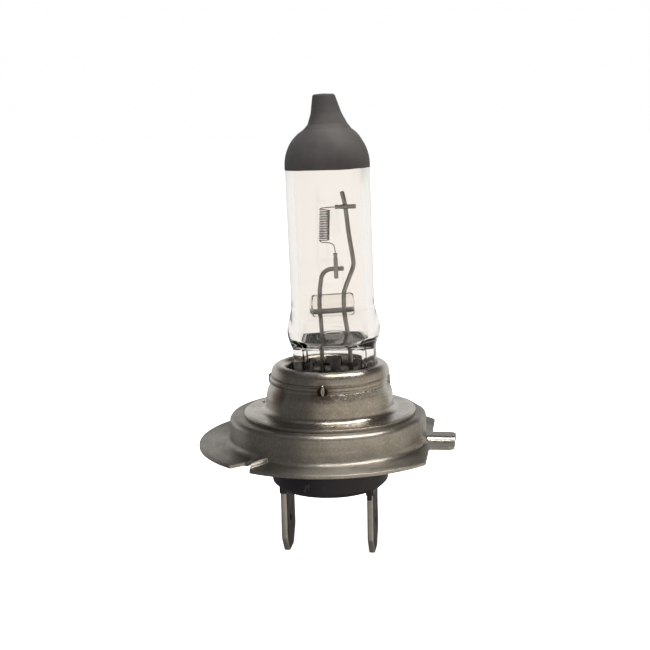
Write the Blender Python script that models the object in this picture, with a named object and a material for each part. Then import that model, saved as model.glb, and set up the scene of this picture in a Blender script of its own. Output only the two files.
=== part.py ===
"""Halogen headlight bulb with a flanged three-rib cap, built as separate pieces.

Metres, +Z up. The origin is the centre of the reference plane, which is the plane of the
crests of the flange's three ribs. +Z runs along the bulb towards the glass, and +X points
at the flange's locating tab. The two contact blades stand along X, one each side.

The glass burner leans a little on the cap, as a hand-set burner does. Its pieces are
modelled on the burner's own axis and hang from the burner_axis empty.
"""

import math

import bmesh
import bpy
from mathutils import Vector

MM = 0.001
GAP = 0.05 * MM
FULL_TURN = 2.0 * math.pi

# Reference ring: one stamped sheet with a flange, a drum and a top land.
RIB_HEIGHT = 0.5 * MM
RIB_WIDTH = 1.8 * MM
RIB_ANGLES = (0.0, 120.0, 240.0)
FLANGE_TOP = -RIB_HEIGHT
FLANGE_RADIUS = 17.15 * MM
RING_SHEET = 0.45 * MM
DRUM_RADIUS = 13.0 * MM
DRUM_FILLET = 0.45 * MM
DRUM_TOP = 2.85 * MM
SHOULDER_RADIUS = 0.7 * MM
LAND_INNER_RADIUS = 9.3 * MM
FLAT_SIDE_X = 13.6 * MM
FLAT_SIDE_CORNER = 1.0 * MM
TAB_END_X = 16.8 * MM
TAB_HALF_WIDTH = 3.7 * MM
TAB_CORNER = 0.8 * MM
NOTCH_FLOOR_RADIUS = 15.1 * MM
NOTCH_MOUTH = (-7.0, 4.0)
NOTCH_FLOOR = (-5.5, -0.5)

# Collar sleeve: a plate welded to the drum's land, and a tube that holds the cup. It is
# slid across the drum to centre the filament before it is welded.
COLLAR_OFFSET = 0.28 * MM
COLLAR_SHEET = 0.38 * MM
PLATE_RADIUS = 11.34 * MM
PLATE_TOP = 3.3 * MM
COLLAR_FILLET = 0.7 * MM
SLEEVE_RADIUS = 8.42 * MM
SLEEVE_CONE_START = 5.7 * MM
BAND_START = 7.05 * MM
BAND_RADIUS = 7.8 * MM
COLLAR_TOP = 8.15 * MM

# Holder cup: a drawn cup with a rolled lip around the glass.
CUP_SHEET = 0.4 * MM
CUP_RADIUS = 7.25 * MM
CUP_OFFSET = COLLAR_OFFSET + 0.15 * MM
CUP_BOTTOM = -0.2 * MM
LIP_RADIUS = 7.58 * MM
LIP_TURN_RADIUS = 7.06 * MM
LIP_TURN = 9.1 * MM
LIP_CREST_RADIUS = 6.6 * MM
LIP_CREST = 9.5 * MM
LIP_HOLE_RADIUS = 6.2 * MM
LIP_EDGE = 8.85 * MM

# Insulator and contact blades.
INSULATOR_OFFSET = 0.15 * MM
INSULATOR_RADIUS = 7.74 * MM
INSULATOR_TOP = -0.5 * MM
INSULATOR_BOTTOM = -6.7 * MM
INSULATOR_CHAMFER_START = -5.95 * MM
INSULATOR_END_RADIUS = 6.95 * MM
SPIGOT_RADIUS = CUP_RADIUS - CUP_SHEET - (CUP_OFFSET - INSULATOR_OFFSET) - GAP
SPIGOT_TOP = 1.5 * MM
SPIGOT_BORE = 5.9 * MM
SPIGOT_FLOOR = 0.2 * MM
BOSS_END = -7.3 * MM
BOSS_MARGIN = 0.4 * MM
TONGUE_END = -9.0 * MM
BLADE_X = 5.75 * MM
BLADE_WIDTH = 6.3 * MM
BLADE_THICKNESS = 0.8 * MM
BLADE_END = -16.0 * MM
BLADE_TAPER = 2.3 * MM
BLADE_TIP_WIDTH = 3.0 * MM
BLADE_SHOULDER = -0.9 * MM
BLADE_TONGUE_WIDTH = 2.0 * MM
BLADE_TONGUE_TOP = 1.3 * MM
BLADE_HOLE_RADIUS = 0.83 * MM
BLADE_HOLE_Z = -11.4 * MM
BLADE_BEVEL = 0.12 * MM

# Burner: its axis crosses the pinch's foot at (BURNER_X, 0, BURNER_Z) and leans to -X.
BURNER_X = COLLAR_OFFSET + 0.975 * MM
BURNER_Z = 2.0 * MM
BURNER_LEAN = math.radians(1.04)
GLASS_RADIUS = 5.42 * MM
GLASS_WALL = 1.05 * MM
GLASS_SEGMENTS = 32
DOME_CENTRE = 33.5 * MM
CAVITY_FLOOR = 11.3 * MM
PINCH_HALF_WIDTH = 5.4 * MM
PINCH_HALF_DEPTH = 1.9 * MM
PINCH_WEB_HALF_DEPTH = 1.25 * MM
PINCH_RAIL = 1.5 * MM
PINCH_TOP = 9.0 * MM
TIP_ROOT = 36.5 * MM
TIP_BEND = 38.55 * MM
TIP_OFFSET = 0.25 * MM
TIP_LEAN = 0.0988
CAP_EDGE = 33.0 * MM
CAP_SKIN = 0.04 * MM
CAP_GAP = 0.015 * MM

# Lead wires, foils, clamps, bridge and filament, on the burner's axis.
LEAD_RADIUS = 0.29 * MM
SHORT_LEAD_X = -1.65 * MM
LONG_LEAD_X = 1.5 * MM
LONG_LEAD_FOOT_X = 2.1 * MM
LEAD_FOOT = 6.5 * MM
LEAD_STRAIGHT_TOP = 17.1 * MM
LONG_LEAD_STEP = (12.4 * MM, 13.7 * MM)
FOIL_X = 1.85 * MM
FOIL_WIDTH = 2.4 * MM
FOIL_THICKNESS = 0.06 * MM
FOIL_Y = 0.34 * MM
FOIL_BOTTOM = 2.6 * MM
FOIL_TOP = 7.6 * MM
OUTER_LEAD_TOP = 3.6 * MM
OUTER_LEAD_LOW = -1.05 * MM
CLEARANCE_BORE = 0.07 * MM
CLAMP_RADIUS = 0.28 * MM
CLAMP_BORE = 0.13 * MM
CLAMP_Y = -(LEAD_RADIUS + CLAMP_RADIUS + 0.03 * MM)
UPPER_CLAMP = (0.87 * MM, 3.50 * MM, 28.16 * MM)
LOWER_CLAMP = (0.67 * MM, 18.95 * MM, 22.23 * MM)
BRIDGE_RADIUS = 1.5 * MM
BRIDGE_LENGTH = 5.7 * MM
BRIDGE_CENTRE = (-0.05 * MM, 15.35 * MM)
BRIDGE_TILT = math.radians(2.5)
COIL_FOOT = (-0.80 * MM, 23.86 * MM)
COIL_HEAD = (-0.55 * MM, 27.80 * MM)
COIL_RADIUS = 0.64 * MM
COIL_TURNS = 18
COIL_STEPS = 7
FILAMENT_RADIUS = 0.085 * MM

# Clip plates that hold the pinch in the cup.
CLIP_SHEET = 0.35 * MM
CLIP_BOTTOM = 2.4 * MM
CLIP_TOP = 8.0 * MM
CLIP_FACE_Y = PINCH_HALF_DEPTH + 0.15 * MM
CLIP_PATH_X = (-5.2 * MM, -4.2 * MM, 5.5 * MM, 6.2 * MM)
CLIP_END_Y = 3.0 * MM

# Welds.
WELD_HALF_WIDTH = 0.42 * MM
WELD_HALF_HEIGHT = 0.70 * MM
WELD_DEPTH = 0.26 * MM
WELD_Z = 7.5 * MM
PLATE_WELD_RADIUS = 0.35 * MM
PLATE_WELD_HEIGHT = 0.10 * MM
PLATE_WELD_CIRCLE = 9.9 * MM
PLATE_WELD_ANGLES = (42.0, 162.0, 282.0)


def clear_scene():
    for obj in list(bpy.data.objects):
        bpy.data.objects.remove(obj, do_unlink=True)


def new_material(name, color, roughness, metallic, transmission=0.0):
    material = bpy.data.materials.new(name)
    material.use_nodes = True
    shader = material.node_tree.nodes["Principled BSDF"]
    shader.inputs["Base Color"].default_value = (*color, 1.0)
    shader.inputs["Roughness"].default_value = roughness
    shader.inputs["Metallic"].default_value = metallic
    shader.inputs["Transmission Weight"].default_value = transmission
    material.diffuse_color = (*color, 1.0)
    return material


def add_object(name, data, material=None, parent=None):
    obj = bpy.data.objects.new(name, data)
    bpy.context.scene.collection.objects.link(obj)
    if material is not None:
        data.materials.append(material)
    obj.parent = parent
    return obj


def mesh_from(bm, name, sharp_degrees=35.0):
    """A smooth-shaded mesh with outward faces, and sharp edges above the given angle."""
    bmesh.ops.recalc_face_normals(bm, faces=bm.faces)
    mesh = bpy.data.meshes.new(name)
    bm.to_mesh(mesh)
    bm.free()
    mesh.shade_smooth()
    mesh.set_sharp_from_angle(angle=math.radians(sharp_degrees))
    return mesh


def arc(centre, radii, start, end, steps):
    """Points on an elliptical arc in (radius, height), angles in degrees."""
    points = []
    for step in range(steps + 1):
        angle = math.radians(start + (end - start) * step / steps)
        points.append((centre[0] + radii[0] * math.cos(angle),
                       centre[1] + radii[1] * math.sin(angle)))
    return points


def offset_path(path, distance):
    """The path moved to its right-hand side by the distance, with mitred corners."""
    moved = []
    for index, (x, y) in enumerate(path):
        before = Vector(path[max(index - 1, 0)])
        after = Vector(path[min(index + 1, len(path) - 1)])
        here = Vector((x, y))
        first = (here - before) if index else (after - here)
        second = (after - here) if index < len(path) - 1 else (here - before)
        normal_a = Vector((first.y, -first.x)).normalized()
        normal_b = Vector((second.y, -second.x)).normalized()
        mitre = (normal_a + normal_b).normalized()
        moved.append(tuple(here + mitre * (distance / mitre.dot(normal_a))))
    return moved


def sheet_profile(path, thickness):
    """The closed outline of a sheet whose outer face follows the path."""
    return path + offset_path(path, thickness)[::-1]


def turned_mesh(name, profile, segments, closed=True):
    """A profile of (radius, height) points turned a full turn about Z."""
    bm = bmesh.new()
    points = [bm.verts.new((radius, 0.0, height)) for radius, height in profile]
    edges = [bm.edges.new(pair) for pair in zip(points, points[1:])]
    if closed:
        edges.append(bm.edges.new((points[-1], points[0])))
    bmesh.ops.spin(bm, geom=points + edges, cent=(0.0, 0.0, 0.0), axis=(0.0, 0.0, 1.0),
                   angle=FULL_TURN, steps=segments)
    bmesh.ops.remove_doubles(bm, verts=bm.verts, dist=0.0001 * MM)
    return mesh_from(bm, name)


def prism_mesh(name, outline, direction):
    """A flat outline of 3D points, extruded along the direction."""
    bm = bmesh.new()
    face = bm.faces.new([bm.verts.new(point) for point in outline])
    extruded = bmesh.ops.extrude_face_region(bm, geom=[face])
    moved = [item for item in extruded["geom"] if isinstance(item, bmesh.types.BMVert)]
    bmesh.ops.translate(bm, verts=moved, vec=direction)
    return mesh_from(bm, name)


def box_mesh(name, low, high):
    bm = bmesh.new()
    bmesh.ops.create_cube(bm, size=1.0)
    for vert in bm.verts:
        for axis in range(3):
            vert.co[axis] = high[axis] if vert.co[axis] > 0.0 else low[axis]
    return mesh_from(bm, name)


def rod_mesh(name, radius, low, high, sides=16):
    """A round rod along Z between two heights."""
    bm = bmesh.new()
    bmesh.ops.create_cone(bm, cap_ends=True, segments=sides, radius1=radius, radius2=radius,
                          depth=high - low)
    bmesh.ops.translate(bm, verts=bm.verts, vec=(0.0, 0.0, (low + high) / 2.0))
    return mesh_from(bm, name)


def lofted_mesh(name, sections):
    """Faces between successive rings of points, closed by a pole or a flat cap at each end."""
    bm = bmesh.new()
    rings = [[bm.verts.new(point) for point in section] for section in sections]
    for lower, upper in zip(rings, rings[1:]):
        count = max(len(lower), len(upper))
        for index in range(count):
            following = (index + 1) % count
            corners = [lower[index % len(lower)], lower[following % len(lower)],
                       upper[following % len(upper)], upper[index % len(upper)]]
            bm.faces.new(list(dict.fromkeys(corners)))
    for ring in (rings[0], rings[-1]):
        if len(ring) > 1:
            bm.faces.new(ring)
    return mesh_from(bm, name)


def wire_curve(name, points, radius, sides_level):
    """A round wire through the points, with filled ends."""
    curve = bpy.data.curves.new(name, "CURVE")
    curve.dimensions = "3D"
    curve.bevel_depth = radius
    curve.bevel_resolution = sides_level
    curve.use_fill_caps = True
    spline = curve.splines.new("POLY")
    spline.points.add(len(points) - 1)
    for target, point in zip(spline.points, points):
        target.co = (*point, 1.0)
    return curve


def smooth_through(points, steps):
    """A Catmull-Rom curve through the points."""
    corners = [Vector(point) for point in points]
    ends = [2.0 * corners[0] - corners[1], *corners, 2.0 * corners[-1] - corners[-2]]
    smooth = []
    for a, b, c, d in zip(ends, ends[1:], ends[2:], ends[3:]):
        for step in range(steps):
            t = step / steps
            smooth.append(0.5 * (2.0 * b + (c - a) * t + (2.0 * a - 5.0 * b + 4.0 * c - d) * t**2
                                 + (3.0 * b - a - 3.0 * c + d) * t**3))
    return smooth + [corners[-1]]


def combine(target, tool, operation="DIFFERENCE"):
    """Joins or cuts the target with a tool object, which is left out of the model."""
    modifier = target.modifiers.new(operation.title(), "BOOLEAN")
    modifier.operation = operation
    modifier.object = tool
    tool.hide_render = True
    tool.display_type = "WIRE"


def polar(radius, degrees, height):
    angle = math.radians(degrees)
    return (radius * math.cos(angle), radius * math.sin(angle), height)


def ring_profile():
    fillet_centre = (DRUM_RADIUS + DRUM_FILLET, FLANGE_TOP + DRUM_FILLET)
    shoulder_centre = (DRUM_RADIUS - SHOULDER_RADIUS, DRUM_TOP - SHOULDER_RADIUS)
    path = [(FLANGE_RADIUS, FLANGE_TOP)]
    path += arc(fillet_centre, (DRUM_FILLET, DRUM_FILLET), 270.0, 180.0, 2)
    path += arc(shoulder_centre, (SHOULDER_RADIUS, SHOULDER_RADIUS), 0.0, 90.0, 3)
    path += [(LAND_INNER_RADIUS, DRUM_TOP)]
    return sheet_profile(path[::-1], RING_SHEET)


def ring_outline():
    """The flange's plan, for y >= 0: a flat side with half the tab, and an arc with a notch."""
    reach = FLANGE_RADIUS + 1.0 * MM
    corner_y = math.sqrt(FLANGE_RADIUS**2 - FLAT_SIDE_X**2)
    corner_angle = math.degrees(math.atan2(corner_y, FLAT_SIDE_X - FLAT_SIDE_CORNER))
    half = [(TAB_END_X, TAB_HALF_WIDTH - TAB_CORNER),
            (TAB_END_X - TAB_CORNER, TAB_HALF_WIDTH),
            (FLAT_SIDE_X, TAB_HALF_WIDTH),
            (FLAT_SIDE_X, corner_y - FLAT_SIDE_CORNER)]
    start, end = NOTCH_MOUTH
    rib = RIB_ANGLES[1]
    half += arc((0.0, 0.0), (reach, reach), corner_angle, rib - end, 16)
    half += [polar(NOTCH_FLOOR_RADIUS, rib - angle, 0.0)[:2] for angle in NOTCH_FLOOR[::-1]]
    half += arc((0.0, 0.0), (reach, reach), rib - start, 180.0, 12)
    return half + [(x, -y) for x, y in reversed(half[:-1])]


def make_reference_ring(material):
    ring = add_object("reference_ring", turned_mesh("reference_ring", ring_profile(), 60), material)
    for angle in RIB_ANGLES:
        path = arc((0.0, -RIB_HEIGHT - 0.2 * MM), (RIB_WIDTH / 2.0, RIB_HEIGHT + 0.2 * MM),
                   0.0, 180.0, 8)
        outline = [(DRUM_RADIUS - 0.2 * MM, y, z) for y, z in path]
        mesh = prism_mesh("rib", outline, (FLANGE_RADIUS - DRUM_RADIUS - 0.1 * MM, 0.0, 0.0))
        rib = add_object("rib_tool", mesh)
        rib.rotation_euler.z = math.radians(angle)
        combine(ring, rib, "UNION")
    low = FLANGE_TOP - 2.0 * MM
    outline = [(x, y, low) for x, y in ring_outline()]
    plan = add_object("plan_tool", prism_mesh("plan", outline, (0.0, 0.0, 8.0 * MM)))
    combine(ring, plan, "INTERSECT")


def make_collar_sleeve(material):
    fillet_centre = (SLEEVE_RADIUS + COLLAR_FILLET, PLATE_TOP + COLLAR_FILLET)
    path = [(PLATE_RADIUS, PLATE_TOP)]
    path += arc(fillet_centre, (COLLAR_FILLET, COLLAR_FILLET), 270.0, 180.0, 3)
    path += [(SLEEVE_RADIUS - 0.05 * MM, SLEEVE_CONE_START),
             (BAND_RADIUS + 0.08 * MM, BAND_START - 0.1 * MM),
             (BAND_RADIUS, BAND_START),
             (BAND_RADIUS, COLLAR_TOP)]
    profile = sheet_profile(path[::-1], COLLAR_SHEET)
    collar = add_object("collar_sleeve", turned_mesh("collar_sleeve", profile, 52), material)
    collar.location.x = COLLAR_OFFSET


def make_holder_cup(material):
    outer_lip = arc((LIP_CREST_RADIUS, LIP_TURN),
                    (LIP_TURN_RADIUS - LIP_CREST_RADIUS, LIP_CREST - LIP_TURN), 0.0, 90.0, 4)
    inner_lip = arc((LIP_CREST_RADIUS, LIP_EDGE),
                    (LIP_CREST_RADIUS - LIP_HOLE_RADIUS, LIP_CREST - LIP_EDGE), 90.0, 180.0, 3)
    path = [(CUP_RADIUS, CUP_BOTTOM), (CUP_RADIUS, COLLAR_TOP)]
    path += [(LIP_RADIUS, COLLAR_TOP + 0.12 * MM), *outer_lip, *inner_lip[1:]]
    profile = sheet_profile(path, -CUP_SHEET)
    cup = add_object("holder_cup", turned_mesh("holder_cup", profile, 44), material)
    cup.location.x = CUP_OFFSET


def blade_outline(margin):
    """The blade's face in (y, z): a long tab with a tapered end and a narrow tongue on top."""
    half = BLADE_WIDTH / 2.0 + margin
    tongue = BLADE_TONGUE_WIDTH / 2.0 + margin
    tip = BLADE_TIP_WIDTH / 2.0 + margin
    right = [(tip, BLADE_END), (half, BLADE_END + BLADE_TAPER), (half, BLADE_SHOULDER + margin),
             (tongue, BLADE_SHOULDER + margin), (tongue, BLADE_TONGUE_TOP + margin)]
    return right + [(-y, z) for y, z in reversed(right)]


def blade_mesh(name, margin):
    half = BLADE_THICKNESS / 2.0 + margin
    outline = [(-half, y, z) for y, z in blade_outline(margin)]
    return prism_mesh(name, outline, (2.0 * half, 0.0, 0.0))


def make_blade(name, side, material):
    blade = add_object(name, blade_mesh(name, 0.0), material)
    blade.location.x = side * BLADE_X
    bevel = blade.modifiers.new("Edges", "BEVEL")
    bevel.width = BLADE_BEVEL
    bevel.segments = 1
    bevel.limit_method = "ANGLE"
    hole = rod_mesh("hole", BLADE_HOLE_RADIUS, -BLADE_THICKNESS, BLADE_THICKNESS, 20)
    drill = add_object("drill_tool", hole)
    drill.rotation_euler.y = math.pi / 2.0
    drill.location = (side * BLADE_X, 0.0, BLADE_HOLE_Z)
    combine(blade, drill)


def make_insulator(material):
    profile = [(0.0, SPIGOT_FLOOR), (SPIGOT_BORE, SPIGOT_FLOOR), (SPIGOT_BORE, SPIGOT_TOP),
               (SPIGOT_RADIUS, SPIGOT_TOP), (SPIGOT_RADIUS, INSULATOR_TOP),
               (INSULATOR_RADIUS, INSULATOR_TOP), (INSULATOR_RADIUS, INSULATOR_CHAMFER_START),
               (INSULATOR_END_RADIUS, INSULATOR_BOTTOM), (0.0, INSULATOR_BOTTOM)]
    mesh = turned_mesh("insulator_body", profile, 44, closed=False)
    insulator = add_object("insulator_body", mesh, material)
    insulator.location.x = INSULATOR_OFFSET
    half_x = BLADE_THICKNESS / 2.0 + BOSS_MARGIN
    half_y = BLADE_WIDTH / 2.0 + 0.15 * MM
    for side in (-1.0, 1.0):
        centre = side * BLADE_X
        boss = box_mesh("boss", (centre - half_x, -half_y, BOSS_END),
                        (centre + half_x, half_y, INSULATOR_CHAMFER_START - 0.2 * MM))
        combine(insulator, add_object("boss_tool", boss), "UNION")
    tongue_x = BLADE_X - BLADE_THICKNESS / 2.0 - 0.05 * MM
    tongue = box_mesh("tongue", (tongue_x - 0.45 * MM, -half_y + 0.05 * MM, TONGUE_END),
                      (tongue_x, -half_y + 1.2 * MM, BOSS_END + 0.5 * MM))
    combine(insulator, add_object("tongue_tool", tongue), "UNION")
    for side in (-1.0, 1.0):
        slot = add_object("slot_tool", blade_mesh("slot", GAP))
        slot.location.x = side * BLADE_X
        combine(insulator, slot)


def superellipse(half_x, half_y, squareness, centre_x, height, count):
    """A ring of points on a rounded outline: 2 is an ellipse, larger is nearer a rectangle."""
    ring = []
    for index in range(count):
        angle = FULL_TURN * (index + 0.5) / count
        power = 2.0 / squareness
        x = math.copysign(abs(math.cos(angle)) ** power, math.cos(angle))
        y = math.copysign(abs(math.sin(angle)) ** power, math.sin(angle))
        ring.append((centre_x + half_x * x, half_y * y, height))
    return ring


def tip_shift(height):
    """How far the drawn-off tip stands from the burner's axis at a height."""
    if height <= TIP_ROOT:
        return 0.0
    if height <= TIP_BEND:
        return TIP_OFFSET * (height - TIP_ROOT) / (TIP_BEND - TIP_ROOT)
    return TIP_OFFSET - TIP_LEAN * (height - TIP_BEND)


def dome_profile():
    """(radius, height) from the cap's edge over the dome and up the drawn-off tip."""
    profile = [(GLASS_RADIUS, CAP_EDGE)]
    profile += arc((0.0, DOME_CENTRE), (GLASS_RADIUS, GLASS_RADIUS), 0.0, 46.0, 5)
    profile += [(3.2 * MM, 38.0 * MM), (2.62 * MM, 38.55 * MM), (2.25 * MM, 39.1 * MM),
                (1.88 * MM, 40.0 * MM), (1.5 * MM, 41.8 * MM), (1.3 * MM, 42.2 * MM),
                (0.9 * MM, 42.38 * MM)]
    return profile


def profile_rings(profile, heights):
    """Rings for a turned profile whose centres follow the tip's lean at the given heights."""
    return [superellipse(radius, radius, 2.0, tip_shift(place), height, GLASS_SEGMENTS)
            for (radius, height), place in zip(profile, heights)]


def glass_sections():
    stations = [(0.0, PINCH_HALF_WIDTH, PINCH_HALF_DEPTH, 8.0),
                (PINCH_TOP, PINCH_HALF_WIDTH, PINCH_HALF_DEPTH, 8.0),
                (10.1 * MM, 5.42 * MM, 2.6 * MM, 5.0), (11.2 * MM, 5.95 * MM, 4.3 * MM, 3.0),
                (12.3 * MM, 6.08 * MM, 5.4 * MM, 2.3), (13.8 * MM, 5.78 * MM, 5.65 * MM, 2.0),
                (15.2 * MM, 5.44 * MM, GLASS_RADIUS, 2.0)]
    sections = [superellipse(half_x, half_y, squareness, 0.0, height, GLASS_SEGMENTS)
                for height, half_x, half_y, squareness in stations]
    profile = dome_profile()
    heights = [height for _, height in profile]
    top = heights[-1] + 0.04 * MM
    return sections + profile_rings(profile, heights) + [[(tip_shift(top), 0.0, top)]]


def make_glass(material, axis):
    glass = add_object("glass_envelope", lofted_mesh("glass_envelope", glass_sections()),
                       material, axis)
    bore = GLASS_RADIUS - GLASS_WALL
    cavity = [(0.0, CAVITY_FLOOR), (2.6 * MM, CAVITY_FLOOR + 0.15 * MM),
              (3.9 * MM, CAVITY_FLOOR + 0.7 * MM), (bore, CAVITY_FLOOR + 2.0 * MM)]
    cavity += arc((0.0, DOME_CENTRE), (bore, bore), 0.0, 90.0, 5)
    cavity[-1] = (0.0, DOME_CENTRE + bore)
    tool = add_object("cavity_tool", turned_mesh("cavity", cavity, 24, closed=False), parent=axis)
    combine(glass, tool)
    recess_x = PINCH_HALF_WIDTH - PINCH_RAIL
    for side in (-1.0, 1.0):
        near, far = sorted((side * PINCH_WEB_HALF_DEPTH, side * 3.0 * MM))
        recess = box_mesh("recess", (-recess_x, near, 0.8 * MM), (recess_x, far, 8.3 * MM))
        combine(glass, add_object("recess_tool", recess, parent=axis))
    for lead_x, side in ((SHORT_LEAD_X, -1.0), (LONG_LEAD_FOOT_X, 1.0)):
        bore_radius = LEAD_RADIUS + CLEARANCE_BORE
        wire = rod_mesh("wire_bore", bore_radius, LEAD_FOOT - GAP, CAVITY_FLOOR + 1.0 * MM, 12)
        wire_tool = add_object("wire_tool", wire, parent=axis)
        wire_tool.location.x = lead_x
        combine(glass, wire_tool)
        half = FOIL_WIDTH / 2.0 + GAP
        slot = box_mesh("foil_slot", (-half, FOIL_Y - 0.1 * MM, FOIL_BOTTOM - GAP),
                        (half, FOIL_Y + 0.1 * MM, FOIL_TOP + GAP))
        slot_tool = add_object("foil_tool", slot, parent=axis)
        slot_tool.location.x = side * FOIL_X
        combine(glass, slot_tool)
        pin = rod_mesh("pin_bore", bore_radius, -1.0 * MM, OUTER_LEAD_TOP + GAP, 12)
        pin_tool = add_object("pin_tool", pin, parent=axis)
        pin_tool.location.x = side * FOIL_X
        combine(glass, pin_tool)


def make_anti_glare_cap(material, axis):
    """A thin baked coat over the dome and the tip."""
    profile = dome_profile()
    heights = [height for _, height in profile]
    inner = offset_path(profile, CAP_GAP)
    outer = offset_path(profile, CAP_GAP + CAP_SKIN)
    tops = [path[-1][1] + 0.04 * MM for path in (inner, outer)]
    inner_rings = profile_rings(inner, heights)
    outer_rings = profile_rings(outer, heights)
    shift = tip_shift(heights[-1])
    sections = [[(shift, 0.0, tops[0])], *reversed(inner_rings), *outer_rings,
                [(shift, 0.0, tops[1])]]
    add_object("anti_glare_cap", lofted_mesh("anti_glare_cap", sections), material, axis)


def make_leads(material, axis):
    long_upper = smooth_through([(LONG_LEAD_X, 0.0, LEAD_STRAIGHT_TOP),
                                 (1.87 * MM, 0.0, 17.95 * MM), (2.42 * MM, 0.0, 19.35 * MM),
                                 (2.90 * MM, 0.0, 20.75 * MM), (2.47 * MM, 0.0, 24.1 * MM),
                                 (2.10 * MM, 0.0, 28.17 * MM), (1.76 * MM, 0.0, 30.0 * MM)], 4)
    long_points = [(LONG_LEAD_FOOT_X, 0.0, LEAD_FOOT), (LONG_LEAD_FOOT_X, 0.0, LONG_LEAD_STEP[0]),
                   (LONG_LEAD_X, 0.0, LONG_LEAD_STEP[1]), *long_upper]
    add_object("lead_wire_long", wire_curve("lead_wire_long", long_points, LEAD_RADIUS, 2),
               material, axis)
    bend = 1.35 * MM
    bend_top = 20.15 * MM
    short_points = [(SHORT_LEAD_X, 0.0, LEAD_FOOT), (SHORT_LEAD_X, 0.0, LEAD_STRAIGHT_TOP),
                    (-1.35 * MM, 0.0, 18.1 * MM)]
    short_points += [(x, 0.0, z) for x, z in
                     arc((0.25 * MM, bend_top - bend), (bend, bend), 175.0, 90.0, 6)]
    short_points += [(1.52 * MM, 0.0, bend_top)]
    add_object("lead_wire_short", wire_curve("lead_wire_short", short_points, LEAD_RADIUS, 2),
               material, axis)


def make_foils_and_outer_leads(foil_material, lead_material, axis):
    for word, side in (("left", -1.0), ("right", 1.0)):
        half = FOIL_WIDTH / 2.0
        foil = box_mesh("foil", (-half, FOIL_Y - FOIL_THICKNESS / 2.0, FOIL_BOTTOM),
                        (half, FOIL_Y + FOIL_THICKNESS / 2.0, FOIL_TOP))
        foil_object = add_object(f"foil_{word}", foil, foil_material, axis)
        foil_object.location.x = side * FOIL_X
        blade_face = side * (BLADE_X - BLADE_THICKNESS / 2.0 - 0.1 * MM) - BURNER_X
        foot = side * FOIL_X
        turn = side * 0.8 * MM
        points = [(foot, 0.0, OUTER_LEAD_TOP), (foot, 0.0, OUTER_LEAD_LOW + 0.8 * MM)]
        points += smooth_through([(foot + 0.25 * turn, 0.0, OUTER_LEAD_LOW + 0.25 * MM),
                                  (foot + turn, 0.0, OUTER_LEAD_LOW)], 2)
        points += [(blade_face, 0.0, OUTER_LEAD_LOW)]
        add_object(f"outer_lead_{word}", wire_curve(f"outer_lead_{word}", points, LEAD_RADIUS, 1),
                   lead_material, axis)


def make_bridge(material, axis):
    half = BRIDGE_LENGTH / 2.0
    mesh = rod_mesh("quartz_bridge", BRIDGE_RADIUS, -half, half, 24)
    bridge = add_object("quartz_bridge", mesh, material, axis)
    bridge.rotation_euler.y = math.pi / 2.0 - BRIDGE_TILT
    bridge.location = (BRIDGE_CENTRE[0], 0.0, BRIDGE_CENTRE[1])
    for lead_x in (SHORT_LEAD_X, LONG_LEAD_X):
        low = BRIDGE_CENTRE[1] - 3.0 * MM
        hole = rod_mesh("bridge_hole", LEAD_RADIUS + CLEARANCE_BORE, low, low + 6.0 * MM, 12)
        drill = add_object("bridge_tool", hole, parent=axis)
        drill.location.x = lead_x
        combine(bridge, drill)


def make_clamps(material, axis):
    left, right, height = UPPER_CLAMP
    half = (right - left) / 2.0
    x, low, high = LOWER_CLAMP
    half_drop = (high - low) / 2.0
    places = (("filament_clamp_upper", half, ((left + right) / 2.0, height), math.pi / 2.0),
              ("filament_clamp_lower", half_drop, (x, (low + high) / 2.0), 0.0))
    for name, reach, (centre_x, centre_z), turn in places:
        profile = [(CLAMP_RADIUS, -reach), (CLAMP_RADIUS, reach), (CLAMP_BORE, reach),
                   (CLAMP_BORE, -reach)]
        clamp = add_object(name, turned_mesh(name, profile, 14), material, axis)
        clamp.rotation_euler.y = turn
        clamp.location = (centre_x, CLAMP_Y, centre_z)


def filament_points():
    """One tungsten wire: a leg out of the upper clamp, the coil, and a leg to the lower clamp."""
    foot = Vector((COIL_FOOT[0], 0.0, COIL_FOOT[1]))
    head = Vector((COIL_HEAD[0], 0.0, COIL_HEAD[1]))
    along = (head - foot).normalized()
    side = Vector((along.z, 0.0, -along.x))
    front = Vector((0.0, -1.0, 0.0))
    coil = []
    steps = COIL_TURNS * COIL_STEPS
    for step in range(steps + 1):
        angle = math.pi + FULL_TURN * step / COIL_STEPS
        centre = head.lerp(foot, step / steps)
        coil.append(centre + COIL_RADIUS * (side * math.cos(angle) + front * math.sin(angle)))
    clamp_left, _, clamp_z = UPPER_CLAMP
    upper = smooth_through([(clamp_left + 0.9 * MM, CLAMP_Y, clamp_z),
                            (clamp_left, CLAMP_Y, clamp_z),
                            (-0.2 * MM, CLAMP_Y - 0.1 * MM, clamp_z - 0.04 * MM),
                            (-1.0 * MM, -0.45 * MM, clamp_z - 0.14 * MM),
                            coil[0]], 4)
    clamp_x, _, clamp_top = LOWER_CLAMP
    lower = smooth_through([coil[-1], (-1.0 * MM, -0.62 * MM, 23.66 * MM),
                            (-0.1 * MM, -0.80 * MM, 23.6 * MM),
                            (0.5 * MM, CLAMP_Y - 0.06 * MM, 23.25 * MM),
                            (clamp_x, CLAMP_Y, clamp_top),
                            (clamp_x, CLAMP_Y, clamp_top - 0.9 * MM)], 4)
    return [*upper[:-1], *coil, *lower[1:]]


def make_filament(material, axis):
    curve = wire_curve("filament", filament_points(), FILAMENT_RADIUS, 0)
    add_object("filament", curve, material, axis)


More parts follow.
